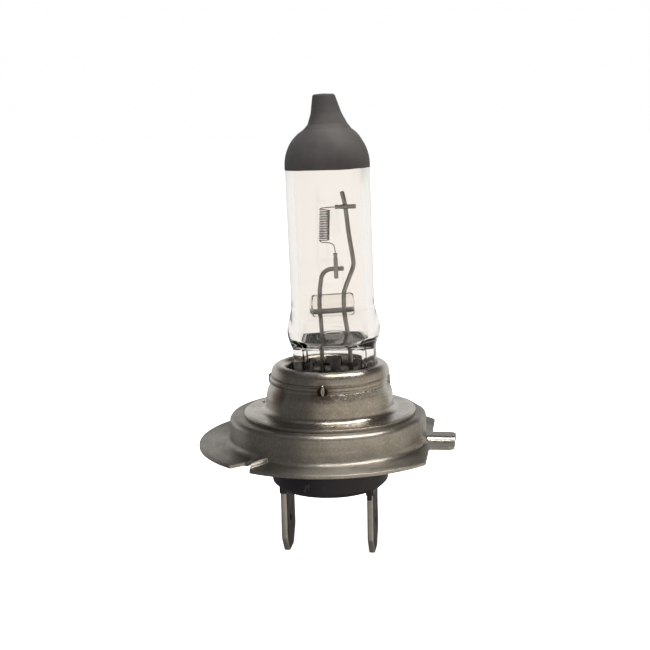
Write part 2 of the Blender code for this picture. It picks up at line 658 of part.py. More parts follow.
def make_clips(material):
    for word, side in (("front", -1.0), ("rear", 1.0)):
        path_y = (-CLIP_END_Y, -CLIP_FACE_Y, -CLIP_FACE_Y, -CLIP_END_Y)
        path = list(zip(CLIP_PATH_X, path_y))
        outline = [(x, -side * y, CLIP_BOTTOM) for x, y in sheet_profile(path, CLIP_SHEET)]
        name = f"pinch_clip_{word}"
        mesh = prism_mesh(name, outline, (0.0, 0.0, CLIP_TOP - CLIP_BOTTOM))
        add_object(name, mesh, material)


def nugget_mesh(name, half_width, half_height, depth):
    """A low round weld bead, flat at the back, standing out along +X."""
    sections = []
    for level in (0.0, 0.45, 0.8):
        width = math.sqrt(1.0 - level * level)
        ring = [(level * depth, half_width * width * math.cos(FULL_TURN * index / 10),
                 half_height * width * math.sin(FULL_TURN * index / 10)) for index in range(10)]
        sections.append(ring)
    sections.append([(depth, 0.0, 0.0)])
    return lofted_mesh(name, sections)


def make_welds(material):
    places = (("front", -88.0), ("right", 2.0), ("rear", 92.0), ("left", 182.0))
    for word, angle in places:
        name = f"collar_weld_{word}"
        mesh = nugget_mesh(name, WELD_HALF_WIDTH, WELD_HALF_HEIGHT, WELD_DEPTH)
        weld = add_object(name, mesh, material)
        weld.location = polar(BAND_RADIUS + 0.03 * MM, angle, WELD_Z)
        weld.location.x += COLLAR_OFFSET
        weld.rotation_euler.z = math.radians(angle)
    for number, angle in enumerate(PLATE_WELD_ANGLES, 1):
        name = f"plate_weld_{number}"
        mesh = nugget_mesh(name, PLATE_WELD_RADIUS, PLATE_WELD_RADIUS, PLATE_WELD_HEIGHT)
        weld = add_object(name, mesh, material)
        weld.location = polar(PLATE_WELD_CIRCLE, angle, PLATE_TOP + 0.02 * MM)
        weld.location.x += COLLAR_OFFSET
        weld.rotation_euler.y = -math.pi / 2.0


def main():
    clear_scene()
    ring_steel = new_material("ring_steel", (0.46, 0.44, 0.41), 0.28, 1.0)
    collar_steel = new_material("collar_steel", (0.48, 0.46, 0.42), 0.26, 1.0)
    cup_steel = new_material("cup_steel", (0.50, 0.48, 0.44), 0.24, 1.0)
    clip_steel = new_material("clip_steel", (0.35, 0.33, 0.31), 0.4, 1.0)
    insulator_plastic = new_material("insulator_plastic", (0.03, 0.028, 0.035), 0.5, 0.0)
    blade_steel = new_material("blade_steel", (0.42, 0.41, 0.37), 0.35, 1.0)
    quartz = new_material("quartz", (0.95, 0.93, 0.89), 0.02, 0.0, 1.0)
    bridge_quartz = new_material("bridge_quartz", (0.93, 0.91, 0.86), 0.05, 0.0, 1.0)
    coat = new_material("anti_glare_coat", (0.08, 0.07, 0.066), 0.75, 0.0)
    lead_metal = new_material("lead_metal", (0.36, 0.34, 0.31), 0.35, 1.0)
    foil_metal = new_material("foil_metal", (0.55, 0.54, 0.52), 0.3, 1.0)
    tungsten = new_material("tungsten", (0.30, 0.29, 0.27), 0.35, 1.0)
    weld_metal = new_material("weld_metal", (0.34, 0.31, 0.27), 0.3, 1.0)

    burner_axis = bpy.data.objects.new("burner_axis", None)
    bpy.context.scene.collection.objects.link(burner_axis)
    burner_axis.location = (BURNER_X, 0.0, BURNER_Z)
    burner_axis.rotation_euler.y = -BURNER_LEAN

    make_reference_ring(ring_steel)
    make_collar_sleeve(collar_steel)
    make_holder_cup(cup_steel)
    make_clips(clip_steel)
    make_insulator(insulator_plastic)
    make_blade("contact_blade_left", -1.0, blade_steel)
    make_blade("contact_blade_right", 1.0, blade_steel)
    make_glass(quartz, burner_axis)
    make_anti_glare_cap(coat, burner_axis)
    make_leads(lead_metal, burner_axis)
    make_foils_and_outer_leads(foil_metal, lead_metal, burner_axis)
    make_bridge(bridge_quartz, burner_axis)
    make_clamps(lead_metal, burner_axis)
    make_filament(tungsten, burner_axis)
    make_welds(weld_metal)


main()
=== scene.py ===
"""Looks of a halogen headlight bulb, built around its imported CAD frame.

Metres, +Z up the bulb, +X towards the flange's tab; tables of sizes are in millimetres.
The burner's pieces are modelled on the burner's own axis and placed by burner_place().
"""

import math

import bpy
import numpy as np
from mathutils import Matrix, Vector, noise


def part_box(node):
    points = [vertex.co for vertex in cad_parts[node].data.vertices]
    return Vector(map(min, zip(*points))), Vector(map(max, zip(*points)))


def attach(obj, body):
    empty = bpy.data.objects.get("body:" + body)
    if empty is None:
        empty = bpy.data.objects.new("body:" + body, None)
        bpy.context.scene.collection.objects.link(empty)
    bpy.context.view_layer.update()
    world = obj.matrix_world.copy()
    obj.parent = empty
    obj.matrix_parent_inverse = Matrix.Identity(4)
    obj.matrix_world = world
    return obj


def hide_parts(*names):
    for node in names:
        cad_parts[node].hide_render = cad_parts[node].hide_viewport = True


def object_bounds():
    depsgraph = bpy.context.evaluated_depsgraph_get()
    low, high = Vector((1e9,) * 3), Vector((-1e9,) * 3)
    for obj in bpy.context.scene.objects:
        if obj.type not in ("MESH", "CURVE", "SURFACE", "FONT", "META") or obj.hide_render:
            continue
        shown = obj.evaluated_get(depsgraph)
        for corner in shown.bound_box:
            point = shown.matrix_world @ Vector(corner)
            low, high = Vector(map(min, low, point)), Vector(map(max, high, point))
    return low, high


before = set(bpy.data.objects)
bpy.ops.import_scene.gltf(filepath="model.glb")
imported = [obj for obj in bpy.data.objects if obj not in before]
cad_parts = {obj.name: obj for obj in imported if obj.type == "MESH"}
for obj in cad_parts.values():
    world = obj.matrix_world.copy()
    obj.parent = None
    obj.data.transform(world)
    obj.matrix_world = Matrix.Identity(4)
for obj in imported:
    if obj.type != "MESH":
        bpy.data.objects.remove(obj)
cad_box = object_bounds()

MM = 0.001
FULL_TURN = 2.0 * math.pi

# Camera, in its own ground directions (across, away, up).
CAMERA_AZIMUTH = math.radians(8.65)
CAMERA_ROLL = math.radians(-1.35)
CAMERA_PLACE = (-0.12 * MM, -150.0 * MM, 41.2 * MM)
CAMERA_AIM_Z = 14.67 * MM
CAMERA_PITCH = math.atan((CAMERA_PLACE[2] - CAMERA_AIM_Z) / -CAMERA_PLACE[1])
CAMERA_LENS = 64.4
SENSOR_WIDTH = 36.0

# Sizes read from the frame.
ring_low, ring_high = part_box("reference_ring")
FLANGE_RADIUS = ring_high.y
DRUM_TOP = ring_high.z + 0.2 * MM
TAB_END_X = ring_high.x
collar_low, collar_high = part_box("collar_sleeve")
COLLAR_X = (collar_low.x + collar_high.x) / 2.0
PLATE_RADIUS = (collar_high.x - collar_low.x) / 2.0
COLLAR_TOP = collar_high.z
cup_low, cup_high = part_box("holder_cup")
CUP_X = (cup_low.x + cup_high.x) / 2.0
LIP_RADIUS = (cup_high.x - cup_low.x) / 2.0 - 0.15 * MM
LIP_CREST = cup_high.z - 0.15 * MM
CUP_BOTTOM = cup_low.z
body_low, body_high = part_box("insulator_body")
INSULATOR_X = (body_low.x + body_high.x) / 2.0
INSULATOR_RADIUS = (body_high.x - body_low.x) / 2.0
blade_low, blade_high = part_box("contact_blade_right")
BLADE_X = (blade_low.x + blade_high.x) / 2.0
BLADE_END = blade_low.z
BLADE_WIDTH = blade_high.y - blade_low.y
BLADE_THICKNESS = blade_high.x - blade_low.x
BLADE_TAPER = 2.3 * MM
BLADE_SHOULDER = -0.9 * MM
LATCH_HOLE_Z = -11.4 * MM

# Reference ring.
RIB_HEIGHT = 0.5 * MM
RIB_HALF_WIDTH = 1.0 * MM
RIB_ANGLES = (0.0, 120.0, 240.0)
FLANGE_TOP = -RIB_HEIGHT
RING_SHEET = 0.45 * MM
DRUM_RADIUS = 13.0 * MM
DRUM_FILLET = 0.75 * MM
SHOULDER_RADIUS = 0.7 * MM
LAND_INNER_RADIUS = 9.3 * MM
FLAT_SIDE_X = 13.6 * MM
TAB_HALF_WIDTH = 3.7 * MM
NOTCH_FLOOR_RADIUS = 15.1 * MM
NOTCH_MOUTH = (-7.0, 4.0)
NOTCH_FLOOR = (-5.5, -0.5)
SHEET_EDGE = 0.1 * MM
DRAWN_EDGE = 0.07 * MM

# Collar and cup.
COLLAR_SHEET = 0.38 * MM
PLATE_TOP = 3.5 * MM
SLEEVE_RADIUS = 8.42 * MM
SLEEVE_CONE_START = 5.7 * MM
BAND_RADIUS = 7.8 * MM
CUP_SHEET = 0.4 * MM
CUP_RADIUS = 7.25 * MM
LIP_HOLE_RADIUS = 6.05 * MM
LIP_TURN_RADIUS = 7.2 * MM

# Spring plates. A finger is its middle, half width and height in millimetres.
CLIP_SHEET = 0.33 * MM
CLIP_MIDDLE_X = 0.3 * MM
CLIP_FRONT_TOP = 9.1 * MM
CLIP_FINGERS = ((0.74, 1.2, 0.85), (-2.26, 0.75, 0.5), (3.6, 1.2, 0.45))
CLIP_REAR_TOP = 9.45 * MM

# Burner.
BURNER_X = COLLAR_X + 0.975 * MM
BURNER_Z = 2.0 * MM
BURNER_LEAN = math.radians(1.04)
GLASS_RADIUS = 5.42 * MM
GLASS_WALL = 1.05 * MM
GLASS_SIDES = 96
DOME_CENTRE = 33.5 * MM
CAVITY_FLOOR = 11.5 * MM
PINCH_HALF_WIDTH = 5.4 * MM
WEB_HALF_DEPTH = 1.25 * MM
RAIL_WIDTH = 1.5 * MM
TIP_ROOT = 36.5 * MM
TIP_BEND = 38.55 * MM
TIP_OFFSET = 0.25 * MM
TIP_LEAN = 0.0988
COAT_EDGE = 33.0 * MM
COAT_GAP = 0.012 * MM
COAT_SKIN = 0.04 * MM
LEAD_RADIUS = 0.29 * MM
LONG_LEAD_LOWER = ((2.1, 6.5), (2.1, 9.8), (1.95, 11.0), (1.75, 12.3), (1.56, 13.6),
                   (1.5, 14.8), (1.5, 16.2))
LONG_LEAD_UPPER = ((1.5, 17.0), (1.85, 17.95), (2.42, 19.3), (2.84, 20.4), (2.86, 21.4),
                   (2.47, 24.3), (2.10, 28.17), (1.76, 30.0))
SHORT_LEAD = ((-1.65, 6.5, 0.0), (-1.65, 17.4, 2.0), (-1.2, 20.1, 1.5), (1.52, 20.15, 0.0))
CLAMP_RADIUS = 0.28 * MM
CLAMP_BORE = 0.15 * MM
CLAMP_Y = -(LEAD_RADIUS + CLAMP_RADIUS + 0.03 * MM)
UPPER_CLAMP = (0.87 * MM, 3.50 * MM, 28.16 * MM)
LOWER_CLAMP = (0.67 * MM, 18.95 * MM, 22.23 * MM)
COIL_FOOT = (-0.80 * MM, 23.86 * MM)
COIL_HEAD = (-0.55 * MM, 27.80 * MM)
COIL_RADIUS = 0.64 * MM
COIL_TURNS = 18
COIL_STEPS = 28
WIRE_END_BEVEL = 0.35
FILAMENT_RADIUS = 0.066 * MM

# Welds: angles about the collar's axis.
COLLAR_WELDS = {"front": -88.0, "right": 2.0, "rear": 92.0, "left": 182.0}
COLLAR_WELD_Z = 7.5 * MM
PLATE_WELDS = (42.0, 162.0, 282.0)
PLATE_WELD_CIRCLE = 9.9 * MM


# ---------------------------------------------------------------- shapes

def corners_from(base, rows):
    """Corners for rounded_path from millimetre rows (u, v, radius), measured from a base point."""
    return [(base[0] + u * MM, base[1] + v * MM, radius * MM) for u, v, radius in rows]


def clockwise(outline):
    ahead = [*outline[1:], outline[0]]
    return sum(a[0] * b[1] - b[0] * a[1] for a, b in zip(outline, ahead)) < 0.0


def rounded_path(corners, closed=False, turn=10.0):
    """Straight runs through (u, v, radius) corners, each corner rounded to its radius."""
    points = []
    for index, (u, v, radius) in enumerate(corners):
        here = Vector((u, v))
        at_end = not closed and index in (0, len(corners) - 1)
        back = Vector(corners[index - 1][:2]) - here
        ahead = Vector(corners[(index + 1) % len(corners)][:2]) - here
        if at_end or radius == 0.0 or abs(back.angle(ahead) - math.pi) < 1e-4:
            points.append(here)
            continue
        half = back.angle(ahead) / 2.0
        reach = min(radius / math.tan(half), 0.8 * back.length, 0.8 * ahead.length)
        middle = (back.normalized() + ahead.normalized()).normalized()
        centre = here + middle * (reach / math.cos(half))
        first = here + back.normalized() * reach - centre
        last = here + ahead.normalized() * reach - centre
        sweep = -first.angle_signed(last)
        steps = max(2, math.ceil(abs(math.degrees(sweep)) / turn))
        for step in range(steps + 1):
            points.append(centre + Matrix.Rotation(sweep * step / steps, 2) @ first)
    return points


def sheet_section(path, thickness, edge=SHEET_EDGE):
    """The closed section of a sheet: the path, and the same path moved to its right-hand side."""
    moved = []
    for index, here in enumerate(path):
        before = path[max(index - 1, 0)]
        after = path[min(index + 1, len(path) - 1)]
        first = (here - before) if index else (after - here)
        second = (after - here) if index < len(path) - 1 else (here - before)
        normal = Vector((first.y, -first.x)).normalized()
        other = Vector((second.y, -second.x)).normalized()
        mitre = (normal + other).normalized()
        moved.append(here + mitre * (thickness / mitre.dot(normal)))
    corners = []
    for line in (path, moved[::-1]):
        ends = (0, len(line) - 1)
        corners += [(*point, edge if index in ends else 0.0) for index, point in enumerate(line)]
    return rounded_path(corners, closed=True, turn=22.0)


def loft(name, rings, closed_up=False, flip=False, sharp=40.0):
    """A mesh over rings of points. A ring of one point is a pole; closed_up joins last to first."""
    points = [point for ring in rings for point in ring]
    starts = np.cumsum([0] + [len(ring) for ring in rings])
    pairs = list(zip(range(len(rings) - 1), range(1, len(rings))))
    if closed_up:
        pairs.append((len(rings) - 1, 0))
    faces = []
    for low, high in pairs:
        count = max(len(rings[low]), len(rings[high]))
        for index in range(count):
            following = (index + 1) % count
            corners = [starts[low] + index % len(rings[low]),
                       starts[low] + following % len(rings[low]),
                       starts[high] + following % len(rings[high]),
                       starts[high] + index % len(rings[high])]
            face = [int(corner) for corner in dict.fromkeys(corners)]
            faces.append(face[::-1] if flip else face)
    if not closed_up:
        for ring, turned in ((0, True), (len(rings) - 1, False)):
            if len(rings[ring]) > 1:
                cap = [int(starts[ring]) + index for index in range(len(rings[ring]))]
                faces.append(cap[::-1] if turned != flip else cap)
    mesh = bpy.data.meshes.new(name)
    mesh.from_pydata([tuple(point) for point in points], [], faces)
    mesh.validate()
    mesh.shade_smooth()
    mesh.set_sharp_from_angle(angle=math.radians(sharp))
    return mesh


def circle(radius, height, count=GLASS_SIDES, centre=(0.0, 0.0)):
    return [(centre[0] + radius * math.cos(FULL_TURN * index / count),
             centre[1] + radius * math.sin(FULL_TURN * index / count), height)
            for index in range(count)]


def turned(name, section, count=160, wobble=0.0):
    """A closed (radius, height) section turned about Z, with a slight wobble as on drawn sheet."""
    rings = [[uneven(Vector(point), wobble) for point in circle(radius, height, count)]
             for radius, height in section]
    return loft(name, rings, closed_up=True, flip=clockwise(section))


def uneven(point, size, pitch=4.0 * MM):
    """The point moved along its own radius by smooth noise."""
    outward = Vector((point.x, point.y, 0.0)).normalized()
    return point + outward * (size * noise.noise(point / pitch))


def sweep(name, points, radius, sides=20):
    """A round wire along the points, with slightly rounded ends."""
    path = [Vector(point) for point in points]
    side = None
    frames = []
    for index, here in enumerate(path):
        before = path[max(index - 1, 0)]
        after = path[min(index + 1, len(path) - 1)]
        along = (after - before).normalized()
        if side is None:
            side = along.cross(Vector((0.0, 1.0, 0.0))).normalized()
        side = (side - along * side.dot(along)).normalized()
        frames.append((here, along, side, along.cross(side)))
    bevel = WIRE_END_BEVEL * radius
    stations = [(frames[0], -bevel, radius - bevel), (frames[0], -0.3 * bevel, radius - 0.3 * bevel)]
    stations += [(frame_at, 0.0, radius) for frame_at in frames]
    stations += [(frames[-1], 0.3 * bevel, radius - 0.3 * bevel), (frames[-1], bevel, radius - bevel)]
    rings = []
    for (here, along, across, up), shift, size in stations:
        turns = [FULL_TURN * index / sides for index in range(sides)]
        rings.append([here + along * shift + across * (size * math.cos(turn))
                      + up * (size * math.sin(turn)) for turn in turns])
    return loft(name, rings)


def divided(path, pitch, whole):
    """The path with its longer runs divided, up to its last point."""
    dense = []
    for start, end in zip(path, path[1:]):
        steps = max(1, whole((end - start).length / pitch))
        dense += [start.lerp(end, step / steps) for step in range(steps)]
    return dense


def smooth_through(points, steps=8):
    """A Catmull-Rom curve through the points."""
    corners = [Vector(point) for point in points]
    ends = [2.0 * corners[0] - corners[1], *corners, 2.0 * corners[-1] - corners[-2]]
    smooth = []
    for a, b, c, d in zip(ends, ends[1:], ends[2:], ends[3:]):
        for t in (step / steps for step in range(steps)):
            smooth.append(0.5 * (2.0 * b + (c - a) * t + (2.0 * a - 5.0 * b + 4.0 * c - d) * t**2
                                 + (3.0 * b - a - 3.0 * c + d) * t**3))
    return smooth + [corners[-1]]


def slab(name, outline, low, high):
    """A flat outline of (u, v) points, filled and raised from low to high along Z."""
    rings = [[(u, v, height) for u, v in outline] for height in (low, high)]
    return loft(name, rings, flip=clockwise(outline), sharp=30.0)


def place(mesh, matrix):
    mesh.transform(matrix)
    mesh.update()
    return mesh


def burner_place():
    return Matrix.Translation((BURNER_X, 0.0, BURNER_Z)) @ Matrix.Rotation(-BURNER_LEAN, 4, "Y")


def linked(name, data):
    """A new object in the scene's collection."""
    made = bpy.data.objects.new(name, data)
    bpy.context.scene.collection.objects.link(made)
    return made


def add_piece(name, mesh, material, slot, *nodes):
    """A finished piece that rides on the bulb's one body and stands for its CAD nodes."""
    piece = linked(name, mesh)
    mesh.materials.clear()
    mesh.materials.append(material)
    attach(piece, "root")
    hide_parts(*nodes)


def baked(obj):
    """The object's mesh with its modifiers applied; the object itself is removed."""
    bpy.context.view_layer.update()
    graph = bpy.context.evaluated_depsgraph_get()
    mesh = bpy.data.meshes.new_from_object(obj.evaluated_get(graph))
    bpy.data.objects.remove(obj)
    return mesh


def combined(mesh, tools, bevel=0.0):
    """The mesh joined with or cut by (operation, tool mesh) pairs, with its edges rounded."""
    target = linked("tool", mesh)
    helpers = []
    for operation, tool_mesh in tools:
        modifier = target.modifiers.new(operation, "BOOLEAN")
        modifier.operation = operation
        modifier.object = linked("tool", tool_mesh)
        helpers.append(modifier.object)
    if bevel:
        modifier = target.modifiers.new("edges", "BEVEL")
        modifier.width = bevel
        modifier.segments = 4
        modifier.limit_method = "ANGLE"
        modifier.angle_limit = math.radians(40.0)
        modifier.harden_normals = False
    result = baked(target)
    for helper in helpers:
        bpy.data.objects.remove(helper)
    result.shade_smooth()
    result.set_sharp_from_angle(angle=math.radians(35.0))
    return result


# ---------------------------------------------------------------- pieces

def flange_outline():
    """The flange's plan for y >= 0, from the tab round to the far side, as (x, y) points."""
    corner_y = math.sqrt(FLANGE_RADIUS**2 - FLAT_SIDE_X**2)
    corner = math.degrees(math.atan2(corner_y, FLAT_SIDE_X))
    rib = RIB_ANGLES[1]

    def on_arc(degrees, radius=FLANGE_RADIUS, rounding=0.0):
        angle = math.radians(degrees)
        return (radius * math.cos(angle), radius * math.sin(angle), rounding)

    corners = [(TAB_END_X, 0.0, 0.0), (TAB_END_X, TAB_HALF_WIDTH, 0.7 * MM),
               (FLAT_SIDE_X, TAB_HALF_WIDTH, 0.3 * MM), (FLAT_SIDE_X, corner_y, 1.0 * MM)]
    first = corner + 4.0
    last = rib - NOTCH_MOUTH[1]
    count = 34
    corners += [on_arc(first + (last - first) * index / count) for index in range(count)]
    corners += [on_arc(last, rounding=0.15 * MM),
                on_arc(rib - NOTCH_FLOOR[1], NOTCH_FLOOR_RADIUS, 0.3 * MM),
                on_arc(rib - NOTCH_FLOOR[0], NOTCH_FLOOR_RADIUS, 0.3 * MM),
                on_arc(rib - NOTCH_MOUTH[0], rounding=0.2 * MM)]
    start = rib - NOTCH_MOUTH[0]
    corners += [on_arc(start + (180.0 - start) * index / 24) for index in range(1, 25)]
    return rounded_path(corners, turn=15.0)


def rib_height(x, y):
    """How far the stamped ribs raise the flange's sheet at a point."""
    raised = 0.0
    for degrees in RIB_ANGLES:
        angle = math.radians(degrees)
        along = x * math.cos(angle) + y * math.sin(angle)
        across = -x * math.sin(angle) + y * math.cos(angle)
        share = abs(across) / RIB_HALF_WIDTH
        if along > 0.0 and share < 1.0:
            raised = max(raised, RIB_HEIGHT * (1.0 - share**2.4))
    return raised


def make_reference_ring(material):
    half = [(math.atan2(y, x), math.hypot(x, y)) for x, y in flange_outline()]
    plan = sorted(half + [(-angle, reach) for angle, reach in half[1:-1]])
    plan_angles = [angle for angle, _ in plan]
    plan_reach = [reach for _, reach in plan]
    angles = set(round(angle, 7) for angle in plan_angles[1:])
    for degrees in RIB_ANGLES:
        middle = (degrees + 180.0) % 360.0 - 180.0
        angles |= {round(math.radians(middle + step * 0.35), 7) for step in range(-14, 15)}
    angles = sorted(angles)
    foot = DRUM_RADIUS + DRUM_FILLET
    wall = DRUM_RADIUS + 0.05 * MM
    path = rounded_path([(LAND_INNER_RADIUS, DRUM_TOP, 0.0),
                         (DRUM_RADIUS, DRUM_TOP, SHOULDER_RADIUS),
                         (DRUM_RADIUS, FLANGE_TOP, DRUM_FILLET),
                         (FLANGE_RADIUS, FLANGE_TOP, 0.0)], turn=9.0)
    flat = [Vector((foot + (FLANGE_RADIUS - foot) * share, FLANGE_TOP))
            for share in (0.15, 0.3, 0.45, 0.6, 0.75, 0.9)]
    path = path[:-1] + flat + path[-1:]
    section = sheet_section(path, RING_SHEET)
    rings = []
    for angle in angles:
        reach = float(np.interp(angle, plan_angles, plan_reach))
        cos, sin = math.cos(angle), math.sin(angle)
        ring = []
        for radius, height in section:
            if radius > wall:
                radius = wall + (radius - wall) * (reach - wall) / (FLANGE_RADIUS - wall)
            raised = rib_height(radius * cos, radius * sin)
            if height > FLANGE_TOP - 0.6 * RING_SHEET:
                if radius > DRUM_RADIUS - 0.01 * MM:
                    height = max(height, min(height + raised, FLANGE_TOP + raised))
            else:
                height += raised * share_of((radius - 12.7 * MM) / (0.75 * MM))
            point = Vector((radius * cos, radius * sin, height))
            ring.append(uneven(point, 0.015 * MM, 6.0 * MM))
        rings.append(ring)
    mesh = loft("stamped_ring", rings, closed_up=True, flip=True, sharp=32.0)
    add_piece("stamped_ring", mesh, material, "ring_steel", "reference_ring")


def make_collar(material):
    corners = corners_from((BAND_RADIUS, COLLAR_TOP), [
        (-0.03, 0.0, 0.0), (-0.03, -0.12, 0.08), (0.05, -0.3, 0.1), (0.05, -0.58, 0.12),
        (-0.03, -0.8, 0.12), (0.05, -1.1, 0.2)])
    corners += corners_from((SLEEVE_RADIUS, SLEEVE_CONE_START), [(-0.22, 0.6, 1.2), (-0.05, -0.2, 1.0)])
    corners += corners_from((SLEEVE_RADIUS, PLATE_TOP), [(0.0, 0.0, 0.9)])
    corners += corners_from((PLATE_RADIUS, PLATE_TOP), [(-0.7, 0.0, 2.0), (0.0, -0.06, 0.0)])
    section = sheet_section(rounded_path(corners, turn=8.0), COLLAR_SHEET, DRAWN_EDGE)
    mesh = turned("welded_collar", section, wobble=0.02 * MM)
    place(mesh, Matrix.Translation((COLLAR_X, 0.0, 0.0)))
    add_piece("welded_collar", mesh, material, "collar_steel", "collar_sleeve")


def make_cup(material):
    corners = [(CUP_RADIUS, CUP_BOTTOM, 0.0)]
    corners += corners_from((CUP_RADIUS, COLLAR_TOP), [(0.0, 0.05, 0.15)])
    corners += corners_from((LIP_RADIUS, COLLAR_TOP), [(0.0, 0.22, 0.12)])
    corners += corners_from((LIP_TURN_RADIUS, LIP_CREST), [(0.0, -0.1, 0.65)])
    corners += corners_from((LIP_HOLE_RADIUS, LIP_CREST), [(0.2, 0.02, 0.5), (0.0, -0.65, 0.0)])
    section = sheet_section(rounded_path(corners, turn=8.0), CUP_SHEET, DRAWN_EDGE)
    mesh = turned("rolled_cup", section, wobble=0.03 * MM)
    place(mesh, Matrix.Translation((CUP_X, 0.0, 0.0)))
    add_piece("rolled_cup", mesh, material, "cup_steel", "holder_cup")


def clip_top(x, word):
    """The ragged upper edge of a spring plate: a notch in the front one, fingers on the rear one."""
    edge = 0.16 * noise.noise(Vector((x / (0.7 * MM), 3.0 if word == "front" else 9.0, 0.0)))
    if word == "front":
        offset = abs(x - CLIP_MIDDLE_X) / MM
        return (CLIP_FRONT_TOP / MM + edge - 1.9 * share_of((1.15 - offset) / 0.6)) * MM
    rise = 0.0
    for middle, half, height in CLIP_FINGERS:
        rise = max(rise, height * share_of((half - abs(x / MM - middle)) / 0.2))
    return (CLIP_REAR_TOP / MM + edge + rise) * MM


def make_clips(material):
    """Two bent spring plates that hold the pinch, with ragged upper edges."""
    for word, side in (("front", -1.0), ("rear", 1.0)):
        low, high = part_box(f"pinch_clip_{word}")
        face = min(abs(low.y), abs(high.y))
        outer = max(abs(low.y), abs(high.y))
        path = rounded_path([(low.x, outer, 0.0), (low.x + 1.1 * MM, face, 0.3 * MM),
                             (high.x - 0.8 * MM, face, 0.3 * MM), (high.x, outer, 0.0)])
        rings = []
        for x, y in [*divided(path, 0.12 * MM, math.ceil), path[-1]]:
            top = clip_top(x, word)
            rings.append([(x, side * (y + shift * CLIP_SHEET), height) for shift, height in
                          ((0.0, low.z), (1.0, low.z), (1.0, top - 0.08 * MM), (0.75, top),
                           (0.25, top), (0.0, top - 0.08 * MM))])
        mesh = loft(f"spring_plate_{word}", rings, flip=side > 0.0, sharp=50.0)
        add_piece(f"spring_plate_{word}", mesh, material, "clip_steel", f"pinch_clip_{word}")


def share_of(value):
    return min(1.0, max(0.0, value))


def superellipse(half_x, half_y, squareness, height, count=GLASS_SIDES):
    ring = []
    for index in range(count):
        angle = FULL_TURN * (index + 0.5) / count
        power = 2.0 / squareness
        x = math.copysign(abs(math.cos(angle)) ** power, math.cos(angle))
        y = math.copysign(abs(math.sin(angle)) ** power, math.sin(angle))
        ring.append(Vector((half_x * x, half_y * y, height)))
    return ring


def tip_shift(height):
    """How far the drawn-off tip stands from the burner's axis at a height."""
    if height <= TIP_ROOT:
        return 0.0
    if height <= TIP_BEND:
        return TIP_OFFSET * (height - TIP_ROOT) / (TIP_BEND - TIP_ROOT)
    return TIP_OFFSET - TIP_LEAN * (height - TIP_BEND)


def dome_profile():
    """(radius, height) from the coat's edge over the dome and up the drawn-off tip."""
    corners = [(GLASS_RADIUS, COAT_EDGE, 0.0)]
    for step in range(13):
        angle = math.radians(4.0 * step)
        corners.append((GLASS_RADIUS * math.cos(angle),
                        DOME_CENTRE + GLASS_RADIUS * math.sin(angle), 0.0))
    corners += corners_from((0.0, 0.0), [(3.02, 37.98, 0.12), (2.5, 38.6, 0.8), (1.92, 39.95, 2.0),
                                         (1.55, 41.5, 1.5), (1.36, 42.3, 0.3), (0.3, 42.37, 0.0)])
    return rounded_path(corners, turn=8.0)


def recess(point, height):
    """Pinch section: the web between its two rails is thinner than the rails."""
    upper = 1.0 - share_of((height - 9.5 * MM) / (0.2 * MM))
    lower = share_of((height - 0.5 * MM) / (0.5 * MM))
    inner = share_of((PINCH_HALF_WIDTH - RAIL_WIDTH - abs(point.x)) / (0.5 * MM) + 0.5)
    inner = inner * inner * (3.0 - 2.0 * inner)
    share = upper * lower * inner
    target = math.copysign(min(abs(point.y), WEB_HALF_DEPTH), point.y)
    return Vector((point.x, point.y + (target - point.y) * share, point.z))


